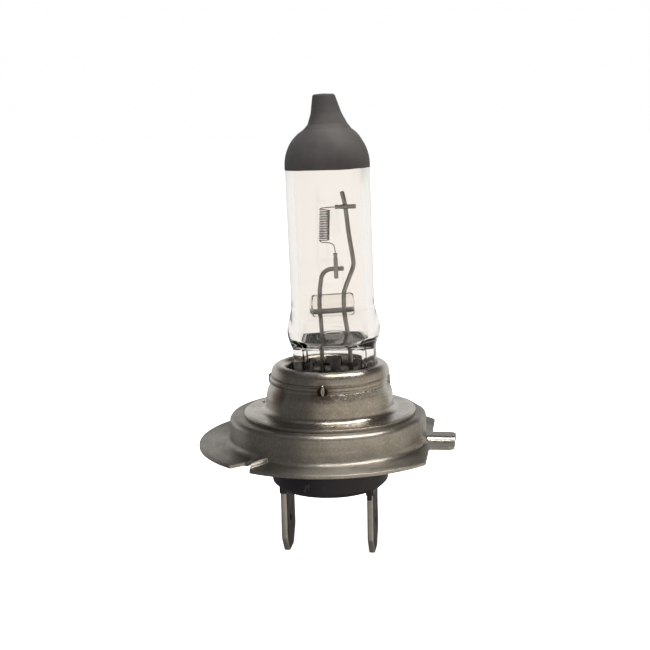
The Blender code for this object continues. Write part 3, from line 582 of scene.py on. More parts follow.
def make_glass(material):
    """Outer skin with pinch and shoulder, and the cavity's skin facing inwards."""
    stations = [(0.0, 5.15, 1.7, 6.0), (0.25, 5.4, 1.9, 8.0), (0.6, 5.4, 1.9, 8.0),
                (1.0, 5.4, 1.9, 8.0), (4.0, 5.4, 1.9, 8.0), (7.6, 5.4, 1.9, 8.0),
                (9.3, 5.4, 1.9, 8.0), (9.5, 5.4, 1.9, 8.0), (9.6, 5.4, 1.9, 8.0),
                (9.7, 5.4, 1.9, 8.0), (9.85, 5.4, 1.94, 8.0), (10.0, 5.43, 2.3, 6.5),
                (10.15, 5.48, 3.1, 4.6), (10.3, 5.54, 3.9, 3.4), (10.5, 5.64, 4.6, 2.8),
                (10.75, 5.77, 5.05, 2.5), (11.1, 5.91, 5.4, 2.3), (11.5, 6.02, 5.62, 2.15),
                (12.0, 6.08, 5.78, 2.05), (12.6, 6.05, 5.84, 2.0), (13.2, 5.93, 5.78, 2.0),
                (13.8, 5.78, 5.7, 2.0), (14.5, 5.6, 5.56, 2.0), (15.2, 5.47, 5.46, 2.0),
                (16.2, 5.42, 5.42, 2.0), (20.0, 5.42, 5.42, 2.0), (26.0, 5.42, 5.42, 2.0)]
    rings = []
    for height, half_x, half_y, squareness in stations:
        ring = superellipse(half_x * MM, half_y * MM, squareness, height * MM)
        rings.append([uneven(recess(point, height * MM), 0.05 * MM, 5.0 * MM) for point in ring])
    for radius, height in dome_profile():
        rings.append([Vector((point.x + tip_shift(height), point.y, point.z))
                      for point in superellipse(radius, radius, 2.0, height)])
    top = rings[-1][0].z
    rings.append([Vector((tip_shift(top), 0.0, top))])
    mesh = loft("burner_glass", rings, sharp=80.0)

    bore = GLASS_RADIUS - GLASS_WALL
    corners = corners_from((0.0, CAVITY_FLOOR), [
        (0.0, 0.0, 0.0), (1.15, 0.0, 0.08), (1.3, 0.08, 0.08), (1.45, -0.03, 0.08), (2.6, -0.13, 4.0),
        (3.7, -0.36, 4.0), (4.45, -0.64, 0.3), (4.72, -0.2, 0.4), (4.79, 0.9, 2.0),
        (4.61, 2.3, 2.0), (bore / MM, 3.7, 2.0)])
    corners.append((bore, DOME_CENTRE - 10.0 * MM, 0.0))
    for step in range(19):
        angle = math.radians(4.8 * step)
        corners.append((bore * math.cos(angle), DOME_CENTRE + bore * math.sin(angle), 0.0))
    cavity = [[Vector((0.0, 0.0, CAVITY_FLOOR))]]
    for radius, height in rounded_path(corners, turn=8.0)[1:]:
        squeeze = 1.0 - 0.05 * share_of(1.0 - (height - CAVITY_FLOOR) / (1.2 * MM))
        if radius > 0.01 * MM:
            cavity.append([Vector((x, y * squeeze, z)) for x, y, z in circle(radius, height)])
    cavity.append([Vector((0.0, 0.0, DOME_CENTRE + bore))])
    inner = loft("cavity", cavity, flip=True, sharp=80.0)
    merged = joined("burner_glass", [mesh, inner])
    place(merged, burner_place())
    add_piece("burner_glass", merged, material, "quartz", "glass_envelope")


def joined(name, meshes):
    """Several meshes as one."""
    points, faces = [], []
    for mesh in meshes:
        start = len(points)
        points += [tuple(vert.co) for vert in mesh.vertices]
        faces += [[start + index for index in poly.vertices] for poly in mesh.polygons]
    merged = bpy.data.meshes.new(name)
    merged.from_pydata(points, [], faces)
    merged.shade_smooth()
    merged.set_sharp_from_angle(angle=math.radians(50.0))
    return merged


def make_coat(material):
    """A thin baked skin over the dome and the tip, with a slightly wavy lower edge."""
    profile = dome_profile()
    rings = []
    for gap, order in ((COAT_GAP, -1), (COAT_GAP + COAT_SKIN, 1)):
        layer = []
        for index, (radius, height) in enumerate(profile):
            ahead = profile[min(index + 1, len(profile) - 1)]
            behind = profile[max(index - 1, 0)]
            run = (Vector(ahead) - Vector(behind)).normalized()
            outward = Vector((run.y, -run.x))
            ring = []
            for point in circle(radius + gap * outward.x, height + gap * outward.y):
                moved = Vector((point[0] + tip_shift(height), point[1], point[2]))
                if index == 0:
                    moved.z += 0.06 * MM * noise.noise(Vector(point) / (1.6 * MM))
                ring.append(moved)
            layer.append(ring)
        rings += layer[::order]
    tops = [rings[0][0].z, rings[-1][0].z]
    rings = [[Vector((tip_shift(tops[0]), 0.0, tops[0]))], *rings,
             [Vector((tip_shift(tops[1]), 0.0, tops[1]))]]
    mesh = loft("baked_coat", rings, sharp=50.0)
    place(mesh, burner_place())
    add_piece("baked_coat", mesh, material, "anti_glare_coat", "anti_glare_cap")


def make_leads(material):
    lower, upper = [smooth_through([(x * MM, 0.0, z * MM) for x, z in rows])
                    for rows in (LONG_LEAD_LOWER, LONG_LEAD_UPPER)]
    short = [(x, 0.0, z) for x, z in rounded_path(corners_from((0.0, 0.0), SHORT_LEAD), turn=6.0)]
    for word, points in (("long", lower + upper), ("short", short)):
        mesh = place(sweep(f"support_wire_{word}", points, LEAD_RADIUS), burner_place())
        add_piece(f"support_wire_{word}", mesh, material, "lead_metal", f"lead_wire_{word}")


def make_clamps(material):
    """Short tubes crimped on the filament's ends and welded across the support wires."""
    left, right, height = UPPER_CLAMP
    x, low, high = LOWER_CLAMP
    places = (("upper", (left + right) / 2.0, height, (right - left) / 2.0, math.pi / 2.0, -1.0),
              ("lower", x, (low + high) / 2.0, (high - low) / 2.0, 0.0, 1.0))
    for word, centre_x, centre_z, half, turn, mouth in places:
        corners = [(CLAMP_RADIUS, -half, 0.05 * MM), (CLAMP_RADIUS, half, 0.05 * MM),
                   (CLAMP_BORE, half, 0.04 * MM), (CLAMP_BORE, -half, 0.04 * MM)]
        section = rounded_path(corners, closed=True, turn=30.0)
        mesh = turned(f"crimp_{word}", divided([*section, section[0]], 0.15 * MM, math.floor), 32)
        for vert in mesh.vertices:
            share = max(0.0, 1.0 - abs(vert.co.z - mouth * (half - 0.45 * MM)) / (0.3 * MM))
            vert.co.x *= 1.0 - 0.22 * share
            vert.co.y *= 1.0 - 0.06 * share
        matrix = burner_place() @ Matrix.Translation((centre_x, CLAMP_Y, centre_z))
        place(mesh, matrix @ Matrix.Rotation(turn, 4, "Y"))
        add_piece(f"crimp_{word}", mesh, material, "lead_metal", f"filament_clamp_{word}")


def filament_points():
    """One tungsten wire: a leg out of the upper clamp, the coil, and a leg to the lower clamp."""
    foot = Vector((COIL_FOOT[0], 0.0, COIL_FOOT[1]))
    head = Vector((COIL_HEAD[0], 0.0, COIL_HEAD[1]))
    along = (head - foot).normalized()
    side = Vector((along.z, 0.0, -along.x))
    front = Vector((0.0, -1.0, 0.0))
    coil = []
    steps = COIL_TURNS * COIL_STEPS
    for step in range(steps + 1):
        angle = math.pi + FULL_TURN * step / COIL_STEPS
        centre = head.lerp(foot, step / steps)
        coil.append(centre + COIL_RADIUS * (side * math.cos(angle) + front * math.sin(angle)))
    clamp_left, _, clamp_z = UPPER_CLAMP
    upper = smooth_through([(clamp_left + 0.9 * MM, CLAMP_Y, clamp_z),
                            (clamp_left, CLAMP_Y, clamp_z),
                            (-0.2 * MM, CLAMP_Y - 0.1 * MM, clamp_z - 0.04 * MM),
                            (-1.0 * MM, -0.45 * MM, clamp_z - 0.14 * MM),
                            coil[0]])
    clamp_x, _, clamp_top = LOWER_CLAMP
    lower = smooth_through([coil[-1], (-1.0 * MM, -0.62 * MM, 23.66 * MM),
                            (-0.1 * MM, -0.80 * MM, 23.6 * MM),
                            (0.5 * MM, CLAMP_Y - 0.06 * MM, 23.25 * MM),
                            (clamp_x, CLAMP_Y, clamp_top),
                            (clamp_x, CLAMP_Y, clamp_top - 0.9 * MM)])
    return [*upper[:-1], *coil, *lower[1:]]


def make_filament(material):
    mesh = sweep("coiled_filament", filament_points(), FILAMENT_RADIUS, sides=10)
    place(mesh, burner_place())
    add_piece("coiled_filament", mesh, material, "tungsten", "filament")


def make_bridge(material):
    low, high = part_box("quartz_bridge")
    radius = (high.y - low.y) / 2.0
    half = (high.x - low.x) / 2.0 - 0.1 * MM
    section = rounded_path([(0.0, -half, 0.0), (radius, -half, 0.45 * MM),
                            (radius, half, 0.45 * MM), (0.0, half, 0.0)], turn=10.0)
    rings = [[Vector((0.0, 0.0, -half))]]
    rings += [[uneven(Vector(point), 0.05 * MM, 2.5 * MM) for point in circle(r, z, 64)]
              for r, z in section[1:-1]]
    rings.append([Vector((0.0, 0.0, half))])
    mesh = loft("fused_bridge", rings, sharp=80.0)
    turn = Matrix.Rotation(math.pi / 2.0 - math.radians(3.5), 4, "Y")
    place(mesh, Matrix.Translation((low + high) / 2.0) @ turn)
    add_piece("fused_bridge", mesh, material, "bridge_quartz", "quartz_bridge")


def make_foils_and_outer_leads(foil_material, lead_material):
    """Thin sealing foils, crinkled a little, and the stiff leads that leave the pinch."""
    for word in ("left", "right"):
        low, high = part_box(f"foil_{word}")
        middle = (low + high) / 2.0
        half = (high.x - low.x) / 2.0 - 0.06 * MM
        rings = []
        for step in range(25):
            height = low.z + (high.z - low.z) * step / 24
            shift = 0.04 * MM * math.sin(7.0 * step / 24.0 * math.pi)
            rings.append([(middle.x + x, middle.y + y + shift, height)
                          for x, y, _ in superellipse(half, 0.03 * MM, 1.6, 0.0, 28)])
        foil = loft(f"sealing_foil_{word}", rings)
        add_piece(f"sealing_foil_{word}", foil, foil_material, "foil_metal", f"foil_{word}")
        low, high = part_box(f"outer_lead_{word}")
        inner, outer = (high.x, low.x) if word == "left" else (low.x, high.x)
        toward = 1.0 if outer > inner else -1.0
        radius = (high.y - low.y) / 2.0
        foot = low.z + radius
        corners = [(inner + toward * radius, high.z, 0.0), (inner + toward * radius, foot, 0.8 * MM),
                   (outer - toward * 0.02 * MM, foot, 0.0)]
        points = [(x, 0.0, z) for x, z in rounded_path(corners, turn=8.0)]
        lead = sweep(f"pinch_lead_{word}", points, radius)
        add_piece(f"pinch_lead_{word}", lead, lead_material, "lead_metal", f"outer_lead_{word}")


def blade_outline():
    half = BLADE_WIDTH / 2.0
    top = blade_high.z
    right = [(1.5 * MM, BLADE_END, 0.45 * MM), (half, BLADE_END + BLADE_TAPER, 0.6 * MM),
             (half, BLADE_SHOULDER, 0.3 * MM), (1.0 * MM, BLADE_SHOULDER, 0.3 * MM),
             (1.0 * MM, top, 0.2 * MM)]
    left = [(-y, z, radius) for y, z, radius in reversed(right)]
    return rounded_path(right + left, closed=True, turn=15.0)


def upright(side, across=1.0, along=1.0):
    """Stands a slab drawn as (y, z) in a blade's place, scaled across and along its width."""
    return Matrix(((0.0, 0.0, across, side * BLADE_X), (along, 0.0, 0.0, 0.0),
                   (0.0, 1.0, 0.0, 0.0), (0.0, 0.0, 0.0, 1.0)))


def make_blades(material):
    """Flat contact blades with coined edges and a punched latch hole."""
    half = BLADE_THICKNESS / 2.0
    for word, side in (("left", -1.0), ("right", 1.0)):
        plate = slab("blade", blade_outline(), -half, half)
        hole = slab("hole", [(x, y + LATCH_HOLE_Z) for x, y, _ in circle(0.83 * MM, 0.0, 40)],
                    -2.0 * half, 2.0 * half)
        mesh = combined(plate, [("DIFFERENCE", hole)], bevel=0.17 * MM)
        place(mesh, upright(side))
        add_piece(f"blade_{word}", mesh, material, "blade_steel", f"contact_blade_{word}")


def rounded_box(low, high, radius):
    corners = [(low[0], low[1], radius), (high[0], low[1], radius),
               (high[0], high[1], radius), (low[0], high[1], radius)]
    return slab("box", rounded_path(corners, closed=True), low[2], high[2])


def make_insulator(material):
    """Moulded body: a turned block with rounded edges, bosses round the blades, and a tongue."""
    section = rounded_path([
        *corners_from((0.0, 0.0), [(0.0, 0.2, 0.0), (5.9, 0.2, 0.3), (5.9, 1.5, 0.1),
                                   (6.5, 1.5, 0.15), (6.5, -0.5, 0.1)]),
        *corners_from((INSULATOR_RADIUS, 0.0), [(0.0, -0.5, 0.3), (0.0, -5.95, 0.5)]),
        *corners_from((0.0, 0.0), [(6.95, -6.7, 0.35), (0.0, -6.7, 0.0)])])
    rings = [[(0.0, 0.0, section[0].y)]]
    rings += [circle(radius, height, 128) for radius, height in section[1:-1]]
    rings.append([(0.0, 0.0, section[-1].y)])
    body = loft("body", rings, flip=True)
    place(body, Matrix.Translation((INSULATOR_X, 0.0, 0.0)))
    half_x = BLADE_THICKNESS / 2.0 + 0.12 * MM
    half_y = BLADE_WIDTH / 2.0 + 0.15 * MM
    tools = []
    for centre in (-BLADE_X, BLADE_X):
        tools.append(("UNION", rounded_box((centre - half_x, -half_y, -7.45 * MM),
                                           (centre + half_x, half_y, -5.0 * MM), 0.2 * MM)))
    tools.append(("UNION", rounded_box((BLADE_X - 0.35 * MM, -half_y - 0.4 * MM, -7.95 * MM),
                                       (BLADE_X + 0.3 * MM, -half_y + 0.1 * MM, -6.5 * MM),
                                       0.1 * MM)))
    for side in (-1.0, 1.0):
        slot = slab("slot", blade_outline(), -BLADE_THICKNESS / 2.0, BLADE_THICKNESS / 2.0)
        tools.append(("DIFFERENCE", place(slot, upright(side, 1.08, 1.01))))
    add_piece("moulded_insulator", combined(body, tools), material, "insulator_plastic",
              "insulator_body")


def nugget(name, half_width, half_height, depth, seed):
    """A weld bead: a lumpy low dome with a small crater, flat at the back, along +X."""
    count = 28
    rings = []
    for level in range(9):
        share = math.sin(math.radians(90.0 * level / 8))
        spread = math.cos(math.radians(90.0 * level / 8))
        ring = []
        for cos, sin, _ in circle(1.0, 0.0, count):
            lump = 1.0 + 0.22 * noise.noise(Vector((cos, sin + seed, share * 2.0)) * 1.7)
            y = half_width * spread * lump * cos
            z = half_height * spread * lump * sin
            far = (y / half_width) ** 2 + ((z - 0.1 * half_height) / half_height) ** 2
            crater = 0.45 * math.exp(-far * 9.0)
            rough = 0.12 * noise.noise(Vector((y / half_width, z / half_height, seed)) * 3.0)
            ring.append((depth * (share * (1.0 - crater) + rough * share), y, z))
        rings.append(ring)
    rings[-1] = [(sum(x for x, _, _ in rings[-1]) / count, 0.0, 0.0)]
    return loft(name, rings, sharp=80.0)


def round_collar(radius, degrees, height):
    """A point at an angle about the collar's axis."""
    angle = math.radians(degrees)
    return Vector((COLLAR_X + radius * math.cos(angle), radius * math.sin(angle), height))


def make_welds(material):
    for seed, (word, degrees) in enumerate(COLLAR_WELDS.items()):
        mesh = nugget(f"weld_bead_{word}", 0.3 * MM, 0.8 * MM, 0.34 * MM, 3.7 * seed)
        spot = round_collar(BAND_RADIUS - 0.02 * MM, degrees, COLLAR_WELD_Z)
        place(mesh, Matrix.Translation(spot) @ Matrix.Rotation(math.radians(degrees), 4, "Z"))
        add_piece(f"weld_bead_{word}", mesh, material, "weld_metal", f"collar_weld_{word}")
    for number, degrees in enumerate(PLATE_WELDS, 1):
        mesh = nugget(f"spot_mark_{number}", 0.36 * MM, 0.36 * MM, 0.1 * MM, 11.0 + number)
        spot = round_collar(PLATE_WELD_CIRCLE, degrees, PLATE_TOP - 0.01 * MM)
        place(mesh, Matrix.Translation(spot) @ Matrix.Rotation(-math.pi / 2.0, 4, "Y"))
        add_piece(f"spot_mark_{number}", mesh, material, "weld_metal", f"plate_weld_{number}")


# ---------------------------------------------------------------- materials

class Graph:
    """Short names for the nodes that the materials and the world are made of."""

    def __init__(self, tree):
        self.tree = tree

    def give(self, socket, value):
        """Links another node's output to the socket, or sets the socket to a constant."""
        if isinstance(value, bpy.types.NodeSocket):
            self.tree.links.new(value, socket)
        elif value is not None:
            socket.default_value = (*value, 1.0) if socket.type == "RGBA" else value

    def add(self, kind, inputs=(), output=0, **settings):
        made = self.tree.nodes.new(kind)
        for key, value in settings.items():
            setattr(made, key, value)
        for key, value in dict(inputs).items():
            self.give(made.inputs[key], value)
        return made.outputs[output]

    def math(self, operation, a, b=None):
        return self.add("ShaderNodeMath", {0: a, 1: b}, operation=operation)

    def product(self, a, b):
        return self.math("MULTIPLY", a, b)

    def total(self, a, b):
        return self.math("ADD", a, b)

    def between(self, operation, a, b):
        """A value made from two vectors."""
        return self.add("ShaderNodeVectorMath", {0: a, 1: b}, output="Value", operation=operation)

    def axes(self, vector):
        parts = self.tree.nodes.new("ShaderNodeSeparateXYZ")
        self.tree.links.new(vector, parts.inputs[0])
        return parts.outputs

    def place(self):
        return self.add("ShaderNodeTexCoord", output="Object")

    def stretched(self, vector, scale):
        return self.add("ShaderNodeMapping", {"Vector": vector, "Scale": scale})

    def noise(self, vector, scale, detail=4.0, roughness=0.5, distortion=0.0):
        return self.add("ShaderNodeTexNoise", {"Vector": vector, "Scale": scale, "Detail": detail,
                                               "Roughness": roughness, "Distortion": distortion})

    def spread(self, value, low, high, to_low=0.0, to_high=1.0):
        return self.add("ShaderNodeMapRange", {"Value": value, "From Min": low, "From Max": high,
                                               "To Min": to_low, "To Max": to_high},
                        interpolation_type="SMOOTHSTEP")

    def mix(self, share, a, b):
        made = self.tree.nodes.new("ShaderNodeMix")
        made.data_type = "RGBA"
        for key, value in (("Factor_Float", share), ("A_Color", a), ("B_Color", b)):
            self.give(next(item for item in made.inputs if item.identifier == key), value)
        return next(item for item in made.outputs if item.identifier == "Result_Color")

    def layer(self, shade, mask, strength, color):
        """The shade, with a colour laid over it where the mask is high."""
        return self.mix(self.product(mask, strength), shade, color)

    def bump(self, height, strength, distance, normal=None):
        return self.add("ShaderNodeBump", {"Height": height, "Strength": strength,
                                           "Distance": distance, "Normal": normal})

    def around(self, vector, fine, along):
        """Coordinates whose noise runs in fine lines round the axis, on walls and flats alike."""
        x, y, z = self.axes(vector)
        radius = self.math("SQRT", self.total(self.product(x, x), self.product(y, y)))
        third = self.product(self.total(radius, z), fine)
        return self.add("ShaderNodeCombineXYZ", {0: self.product(x, along),
                                                 1: self.product(y, along), 2: third})


class Paint(Graph):
    """A new material with one Principled shader."""

    def __init__(self, name, metallic, roughness, color=(0.8, 0.8, 0.8)):
        self.material = bpy.data.materials.new(name)
        self.material.use_nodes = True
        super().__init__(self.material.node_tree)
        self.shade({"Metallic": metallic, "Roughness": roughness, "Base Color": color})

    def shade(self, values):
        """Sets or links the shader's sockets, and returns the material."""
        for key, value in values.items():
            self.give(self.tree.nodes["Principled BSDF"].inputs[key], value)
        return self.material


def scaled(color, factor):
    return tuple(min(1.0, factor * part) for part in color)


def weld_tint(graph, vector, points, reach, fade):
    """1 beside any of the points, falling to 0 over the reach, with an uneven edge."""
    ragged = graph.noise(vector, 900.0, 3.0)
    nearest = graph.between("DISTANCE", vector, points[0])
    for point in points[1:]:
        nearest = graph.math("MINIMUM", nearest, graph.between("DISTANCE", vector, point))
    shift = graph.product(graph.math("SUBTRACT", ragged, 0.5), 1.6 * reach)
    return graph.spread(graph.total(nearest, shift), reach, fade, 1.0, 0.0)


def steel(name, color, worn, roughness, tint_points=(), tint_reach=(0.6 * MM, 2.2 * MM),
          more_tint=(), rough_zone=None, edge=1.0):
    """Plated or stainless sheet: drawn lines round the axis, mottling, specks and scratches."""
    graph = Paint(name, 1.0, roughness, color)
    graph.shade({"Specular Tint": (edge, edge, edge), "Anisotropic": 0.8,
                 "Anisotropic Rotation": 0.25})
    vector = graph.place()
    cloud = graph.noise(vector, 350.0, 5.0, 0.6)
    fine = graph.noise(graph.around(vector, 9000.0, 240.0), 1.0, 6.0, 0.65)
    broad = graph.noise(graph.around(vector, 2200.0, 60.0), 1.0, 3.0)
    speck = graph.noise(vector, 5200.0, 2.0)
    grain = graph.noise(vector, 3200.0, 3.0, 0.6)
    shade = graph.mix(graph.spread(cloud, 0.35, 0.7), color, worn)
    for mask, strength, factor in ((graph.spread(grain, 0.42, 0.62), 0.32, 0.6),
                                   (graph.spread(grain, 0.3, 0.4, 1.0, 0.0), 0.5, 1.45),
                                   (graph.spread(fine, 0.55, 0.75), 0.175, 0.55),
                                   (graph.spread(speck, 0.68, 0.78), 0.4, 0.35)):
        shade = graph.layer(shade, mask, strength, scaled(color, factor))
    rough = graph.spread(graph.total(graph.product(cloud, 0.6), graph.product(broad, 0.4)),
                         0.3, 0.7, roughness * 0.8, roughness * 1.3)
    if tint_points:
        halo = weld_tint(graph, vector, [*tint_points, *more_tint], *tint_reach)
        shade = graph.layer(shade, halo, 0.75, (0.17, 0.11, 0.08))
        scorch = weld_tint(graph, vector, tint_points, 0.5 * MM, 0.85 * MM)
        shade = graph.layer(shade, scorch, 0.9, (0.02, 0.014, 0.01))
        rough = graph.total(rough, graph.product(scorch, 0.25))
    height = graph.total(graph.product(fine, 0.25), graph.product(broad, 0.5))
    normal = graph.bump(height, 0.25, 0.012 * MM)
    normal = graph.bump(speck, 0.3, 0.03 * MM, normal)
    if rough_zone:
        normal = roughened(graph, vector, normal, *rough_zone)
    return graph.shade({"Base Color": shade, "Roughness": rough, "Normal": normal})


def roughened(graph, vector, normal, low, high, toward):
    """Crumpled marks left by the press on one side of the sleeve's cone, between two heights."""
    height = graph.axes(vector)[2]
    inside = graph.product(graph.spread(height, low, low + 0.4 * MM),
                           graph.spread(height, high - 0.25 * MM, high, 1.0, 0.0))
    outward = graph.add("ShaderNodeVectorMath", {0: graph.stretched(vector, (1.0, 1.0, 0.0))},
                        operation="NORMALIZE")
    side = graph.spread(graph.between("DOT_PRODUCT", outward, toward), 0.72, 0.86)
    marks = graph.noise(graph.stretched(vector, (1.0, 1.0, 0.6)), 2600.0, 4.0, 0.6, 0.8)
    return graph.bump(graph.product(graph.product(inside, side), marks), 1.0, 0.15 * MM, normal)


def plain_metal(name, color, dark, roughness, scale=1500.0, stretch=(1.0, 1.0, 0.15), bump=0.2):
    """Drawn wire, spring plate or weld metal: stretched grain and darker oxide patches."""
    graph = Paint(name, 1.0, roughness, color)
    vector = graph.place()
    grain = graph.noise(graph.stretched(vector, stretch), scale, 5.0, 0.6)
    patches = graph.noise(vector, scale * 0.3, 4.0, 0.6)
    shade = graph.mix(graph.spread(patches, 0.4, 0.7), color, dark)
    shade = graph.layer(shade, graph.spread(grain, 0.5, 0.75), 0.4, scaled(color, 0.5))
    rough = graph.spread(grain, 0.3, 0.7, roughness * 0.8, roughness * 1.3)
    return graph.shade({"Base Color": shade, "Roughness": rough,
                        "Normal": graph.bump(grain, bump, 0.02 * MM)})


def blade_material():
    """Tin-plated strip: broad faces painted dark as shade, edges in the plate's own bright colour, grey
    wear and contact scratches.
    """
    graph = Paint("blade_tin", 1.0, 0.38)
    graph.shade({"Specular Tint": (0.3, 0.29, 0.29)})
    vector = graph.place()
    grain = graph.noise(graph.stretched(vector, (1.0, 1.0, 0.06)), 5000.0, 5.0, 0.6)
    patches = graph.spread(graph.noise(vector, 420.0, 5.0, 0.6), 0.35, 0.7)
    scratch = graph.noise(graph.stretched(vector, (1.0, 6.0, 0.35)), 1500.0, 3.0, 0.5, 0.4)
    _, across, height = graph.axes(vector)
    past_taper = graph.math("MAXIMUM", graph.math("SUBTRACT", BLADE_END + BLADE_TAPER, height), 0.0)
    across = graph.total(graph.math("ABSOLUTE", across), graph.product(past_taper, 0.717))
    edge = graph.spread(across, BLADE_WIDTH / 2.0 - 0.22 * MM, BLADE_WIDTH / 2.0 - 0.08 * MM)
    # Painted shade: the broad faces get a near-black colour that stands for shade; the edge colour is
    # the plate's own.
    shade = graph.mix(edge, graph.mix(patches, (0.16, 0.148, 0.143), (0.11, 0.102, 0.10)),
                      graph.mix(patches, (0.60, 0.58, 0.55), (0.46, 0.445, 0.42)))
    shade = graph.layer(shade, graph.spread(scratch, 0.62, 0.7), 0.5, (0.12, 0.115, 0.105))
    normal = graph.bump(scratch, 0.15, 0.03 * MM, graph.bump(grain, 0.2, 0.015 * MM))
    return graph.shade({"Base Color": shade, "Roughness": graph.spread(grain, 0.3, 0.7, 0.34, 0.5),
                        "Normal": normal})


def insulator_material():
    """Black glass-filled moulding: fine pits, pale scuffs and specks."""
    graph = Paint("insulator_black", 0.0, 0.5)
    vector = graph.place()
    cloud = graph.noise(vector, 260.0, 4.0)
    pits = graph.noise(vector, 6500.0, 3.0, 0.6)
    scuffs = graph.noise(graph.stretched(vector, (1.0, 1.0, 0.25)), 900.0, 2.0, 0.4, 1.5)
    specks = graph.noise(vector, 2600.0, 1.0)
    shade = graph.mix(graph.spread(cloud, 0.3, 0.7), (0.017, 0.0155, 0.021), (0.024, 0.021, 0.028))
    shade = graph.layer(shade, graph.spread(scuffs, 0.70, 0.74), 0.35, (0.12, 0.12, 0.13))
    shade = graph.layer(shade, graph.spread(specks, 0.76, 0.8), 0.5, (0.16, 0.155, 0.16))
    return graph.shade({"Base Color": shade, "Roughness": graph.spread(pits, 0.3, 0.7, 0.42, 0.6),
                        "Normal": graph.bump(pits, 0.22, 0.03 * MM)})


def coat_material():
    """Baked matte coat with a powdery grain."""
    graph = Paint("baked_grey", 0.0, 0.7)
    vector = graph.place()
    cloud = graph.noise(vector, 300.0, 4.0)
    grain = graph.noise(vector, 9000.0, 3.0, 0.7)
    shade = graph.mix(graph.spread(cloud, 0.3, 0.7), (0.047, 0.043, 0.045), (0.066, 0.061, 0.06))
    shade = graph.layer(shade, graph.spread(grain, 0.5, 0.8), 0.35, (0.10, 0.096, 0.092))
    return graph.shade({"Base Color": shade, "Roughness": graph.spread(grain, 0.3, 0.7, 0.6, 0.8),
                        "Normal": graph.bump(grain, 0.3, 0.02 * MM)})


def glass_material(name, color, ripple):
    """Fused quartz: clear, a little warm, with faint draw lines."""
    graph = Paint(name, 0.0, 0.0, color)
    graph.shade({"IOR": 1.46, "Transmission Weight": 1.0})
    vector = graph.place()
    lines = graph.noise(graph.stretched(vector, (1.0, 1.0, 0.05)), 700.0, 2.0)
    cloud = graph.noise(vector, 500.0, 2.0)
    return graph.shade({"Base Color": graph.mix(graph.spread(cloud, 0.3, 0.7), color,
                                                scaled(color, 0.985)),
                        "Normal": graph.bump(lines, ripple, 0.02 * MM)})


# ---------------------------------------------------------------- stage

def from_view(x, y, z):
    """A point given across, away from and above the camera's own ground directions."""
    cos, sin = math.cos(CAMERA_AZIMUTH), math.sin(CAMERA_AZIMUTH)
    return Vector((x * cos - y * sin, x * sin + y * cos, z))


def aim(obj, forward, roll=0.0):
    obj.rotation_mode = "QUATERNION"
    turn = forward.to_track_quat("-Z", "Y")
    obj.rotation_quaternion = turn @ Matrix.Rotation(roll, 4, "Z").to_quaternion()


def add_camera():
    data = bpy.data.cameras.new("camera")
    data.lens = CAMERA_LENS
    data.sensor_width = SENSOR_WIDTH
    data.clip_start = 0.005
    data.clip_end = 10.0
    camera = linked("camera", data)
    camera.location = from_view(*CAMERA_PLACE)
    aim(camera, from_view(0.0, math.cos(CAMERA_PITCH), -math.sin(CAMERA_PITCH)), CAMERA_ROLL)
    bpy.context.scene.camera = camera


def add_floor():
    size = 3.0
    mesh = bpy.data.meshes.new("floor")
    low = cad_box[0][2] - 0.01 * MM
    mesh.from_pydata([(-size, -size, low), (size, -size, low), (size, size, low),
                      (-size, size, low)], [], [(0, 1, 2, 3)])
    paint = Paint("floor_white", 0.0, 0.9, (0.9, 0.9, 0.9))
    mesh.materials.append(paint.shade({"Emission Color": (1.0, 0.997, 1.0),
                                       "Emission Strength": 0.97}))
    floor = linked("floor", mesh)
    floor.visible_glossy = False
    floor.visible_transmission = False
    floor.visible_diffuse = False


def add_softbox(name, place_at, target, size, power, color=(1.0, 1.0, 1.0)):
    data = bpy.data.lights.new(name, "AREA")
    data.shape = "RECTANGLE"
    data.size, data.size_y = size
    data.energy = power
    data.color = color
    light = linked(name, data)
    light.location = from_view(*place_at)
    aim(light, from_view(*target) - light.location)
    light.visible_camera = False
    light.visible_transmission = False
    return light


def add_world():
    """White to the eye and through the glass; a room with a bright backdrop to reflections."""
    world = bpy.data.worlds.new("studio")
    bpy.context.scene.world = world
    world.use_nodes = True
    graph = Graph(world.node_tree)
    direction = graph.add("ShaderNodeTexCoord", output="Generated")
    rise = graph.axes(direction)[2]

    def facing(x, y, z, start, full):
        toward = from_view(x, y, z).normalized()
        return graph.spread(graph.between("DOT_PRODUCT", direction, toward), start, full)

    def ground(degrees):
        """A level direction at an angle to the right of the camera's side."""
        return math.sin(math.radians(degrees)), -math.cos(math.radians(degrees)), 0.0

    below = graph.spread(rise, 0.12, 0.6, 1.0, 0.0)
    under_backdrop = graph.spread(rise, 0.22, 0.5, 1.0, 0.0)
    table = graph.product(facing(*ground(50.0), -0.15, 0.8), below)
    left_back = graph.product(graph.product(facing(*ground(-165.0), 0.36, 0.97), under_backdrop),
                              graph.spread(rise, -0.35, 0.0))
    right_back = graph.product(facing(*ground(155.0), 0.74, 0.98), under_backdrop)
    room = graph.mix(below, (0.085, 0.082, 0.08), (0.135, 0.13, 0.125))
    for mask, color in ((table, (0.66, 0.61, 0.53)), (left_back, (0.78, 0.775, 0.77)),
                        (right_back, (0.82, 0.81, 0.8)),
                        (facing(0.0, 0.0, 1.0, 0.7, 0.98), (0.2, 0.2, 0.21))):
        room = graph.mix(mask, room, color)
    band = graph.product(graph.spread(rise, -0.85, -0.7), graph.spread(rise, -0.03, 0.1, 1.0, 0.0))
    paper = graph.math("MAXIMUM", band, graph.spread(rise, 0.3, 0.42))
    behind = graph.mix(paper, (0.03, 0.03, 0.032), (0.96, 0.955, 0.95))
    seen = graph.add("ShaderNodeLightPath", output="Is Camera Ray")
    through = graph.add("ShaderNodeLightPath", output="Is Transmission Ray")
    shown = graph.mix(seen, graph.mix(through, room, behind), (1.0, 0.995, 1.0))
    graph.give(graph.tree.nodes["Background"].inputs[0], shown)


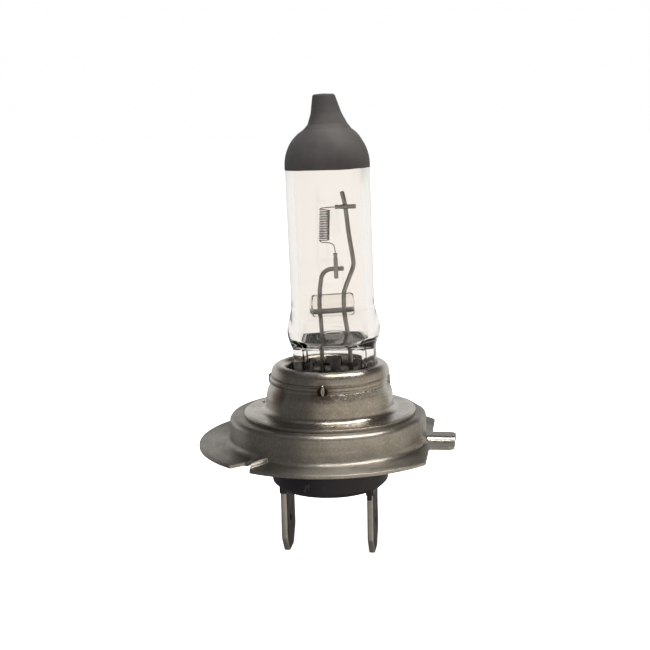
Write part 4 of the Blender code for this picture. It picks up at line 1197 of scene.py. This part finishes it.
def main():
    add_camera()
    add_floor()
    add_world()
    add_softbox("overhead", (62 * MM, 10 * MM, 260 * MM), (0.0, 0.0, 10 * MM),
                (0.1, 0.2), 0.42, (1.0, 0.96, 0.89))
    for name, place_at, power in (("left_fill", (-170 * MM, -190 * MM, 170 * MM), 0.5),
                                  ("top_fill", (60 * MM, -40 * MM, 260 * MM), 0.75)):
        fill = add_softbox(name, place_at, (0.0, 0.0, 30 * MM), (0.3, 0.3), power)
        fill.visible_glossy = False

    welds = [round_collar(BAND_RADIUS, degrees, COLLAR_WELD_Z) for degrees in COLLAR_WELDS.values()]
    lead_metal = plain_metal("molybdenum", (0.30, 0.285, 0.26), (0.21, 0.2, 0.18), 0.36)
    make_reference_ring(steel("nickel_ring", (0.56, 0.53, 0.48), (0.47, 0.445, 0.405), 0.34,
                              edge=0.55))
    make_collar(steel("stainless_collar", (0.53, 0.493, 0.435), (0.445, 0.413, 0.365), 0.24,
                      tint_points=welds, more_tint=[from_view(-6.6 * MM, -4.9 * MM, 6.6 * MM)],
                      rough_zone=(5.8 * MM, 7.2 * MM, from_view(0.42, -0.9, 0.0))))
    make_cup(steel("bright_cup", (0.54, 0.50, 0.445), (0.46, 0.43, 0.38), 0.27,
                   tint_points=welds, tint_reach=(0.4 * MM, 1.6 * MM)))
    make_clips(plain_metal("spring_steel", (0.17, 0.16, 0.165), (0.09, 0.085, 0.09), 0.42))
    make_insulator(insulator_material())
    make_blades(blade_material())
    make_foils_and_outer_leads(
        plain_metal("foil", (0.52, 0.51, 0.49), (0.4, 0.39, 0.38), 0.3, bump=0.1), lead_metal)
    make_glass(glass_material("quartz", (0.99, 0.96, 0.925), 0.03))
    make_coat(coat_material())
    make_leads(lead_metal)
    make_clamps(lead_metal)
    make_filament(plain_metal("tungsten_wire", (0.22, 0.21, 0.195), (0.15, 0.14, 0.13), 0.4))
    make_bridge(glass_material("bridge_quartz", (0.97, 0.94, 0.90), 0.05))
    make_welds(plain_metal("weld_bead", (0.62, 0.57, 0.50), (0.26, 0.21, 0.17), 0.16,
                           scale=900.0, stretch=(1.0, 1.0, 1.0), bump=0.35))
    bpy.context.scene.view_settings.view_transform = "Standard"


main()
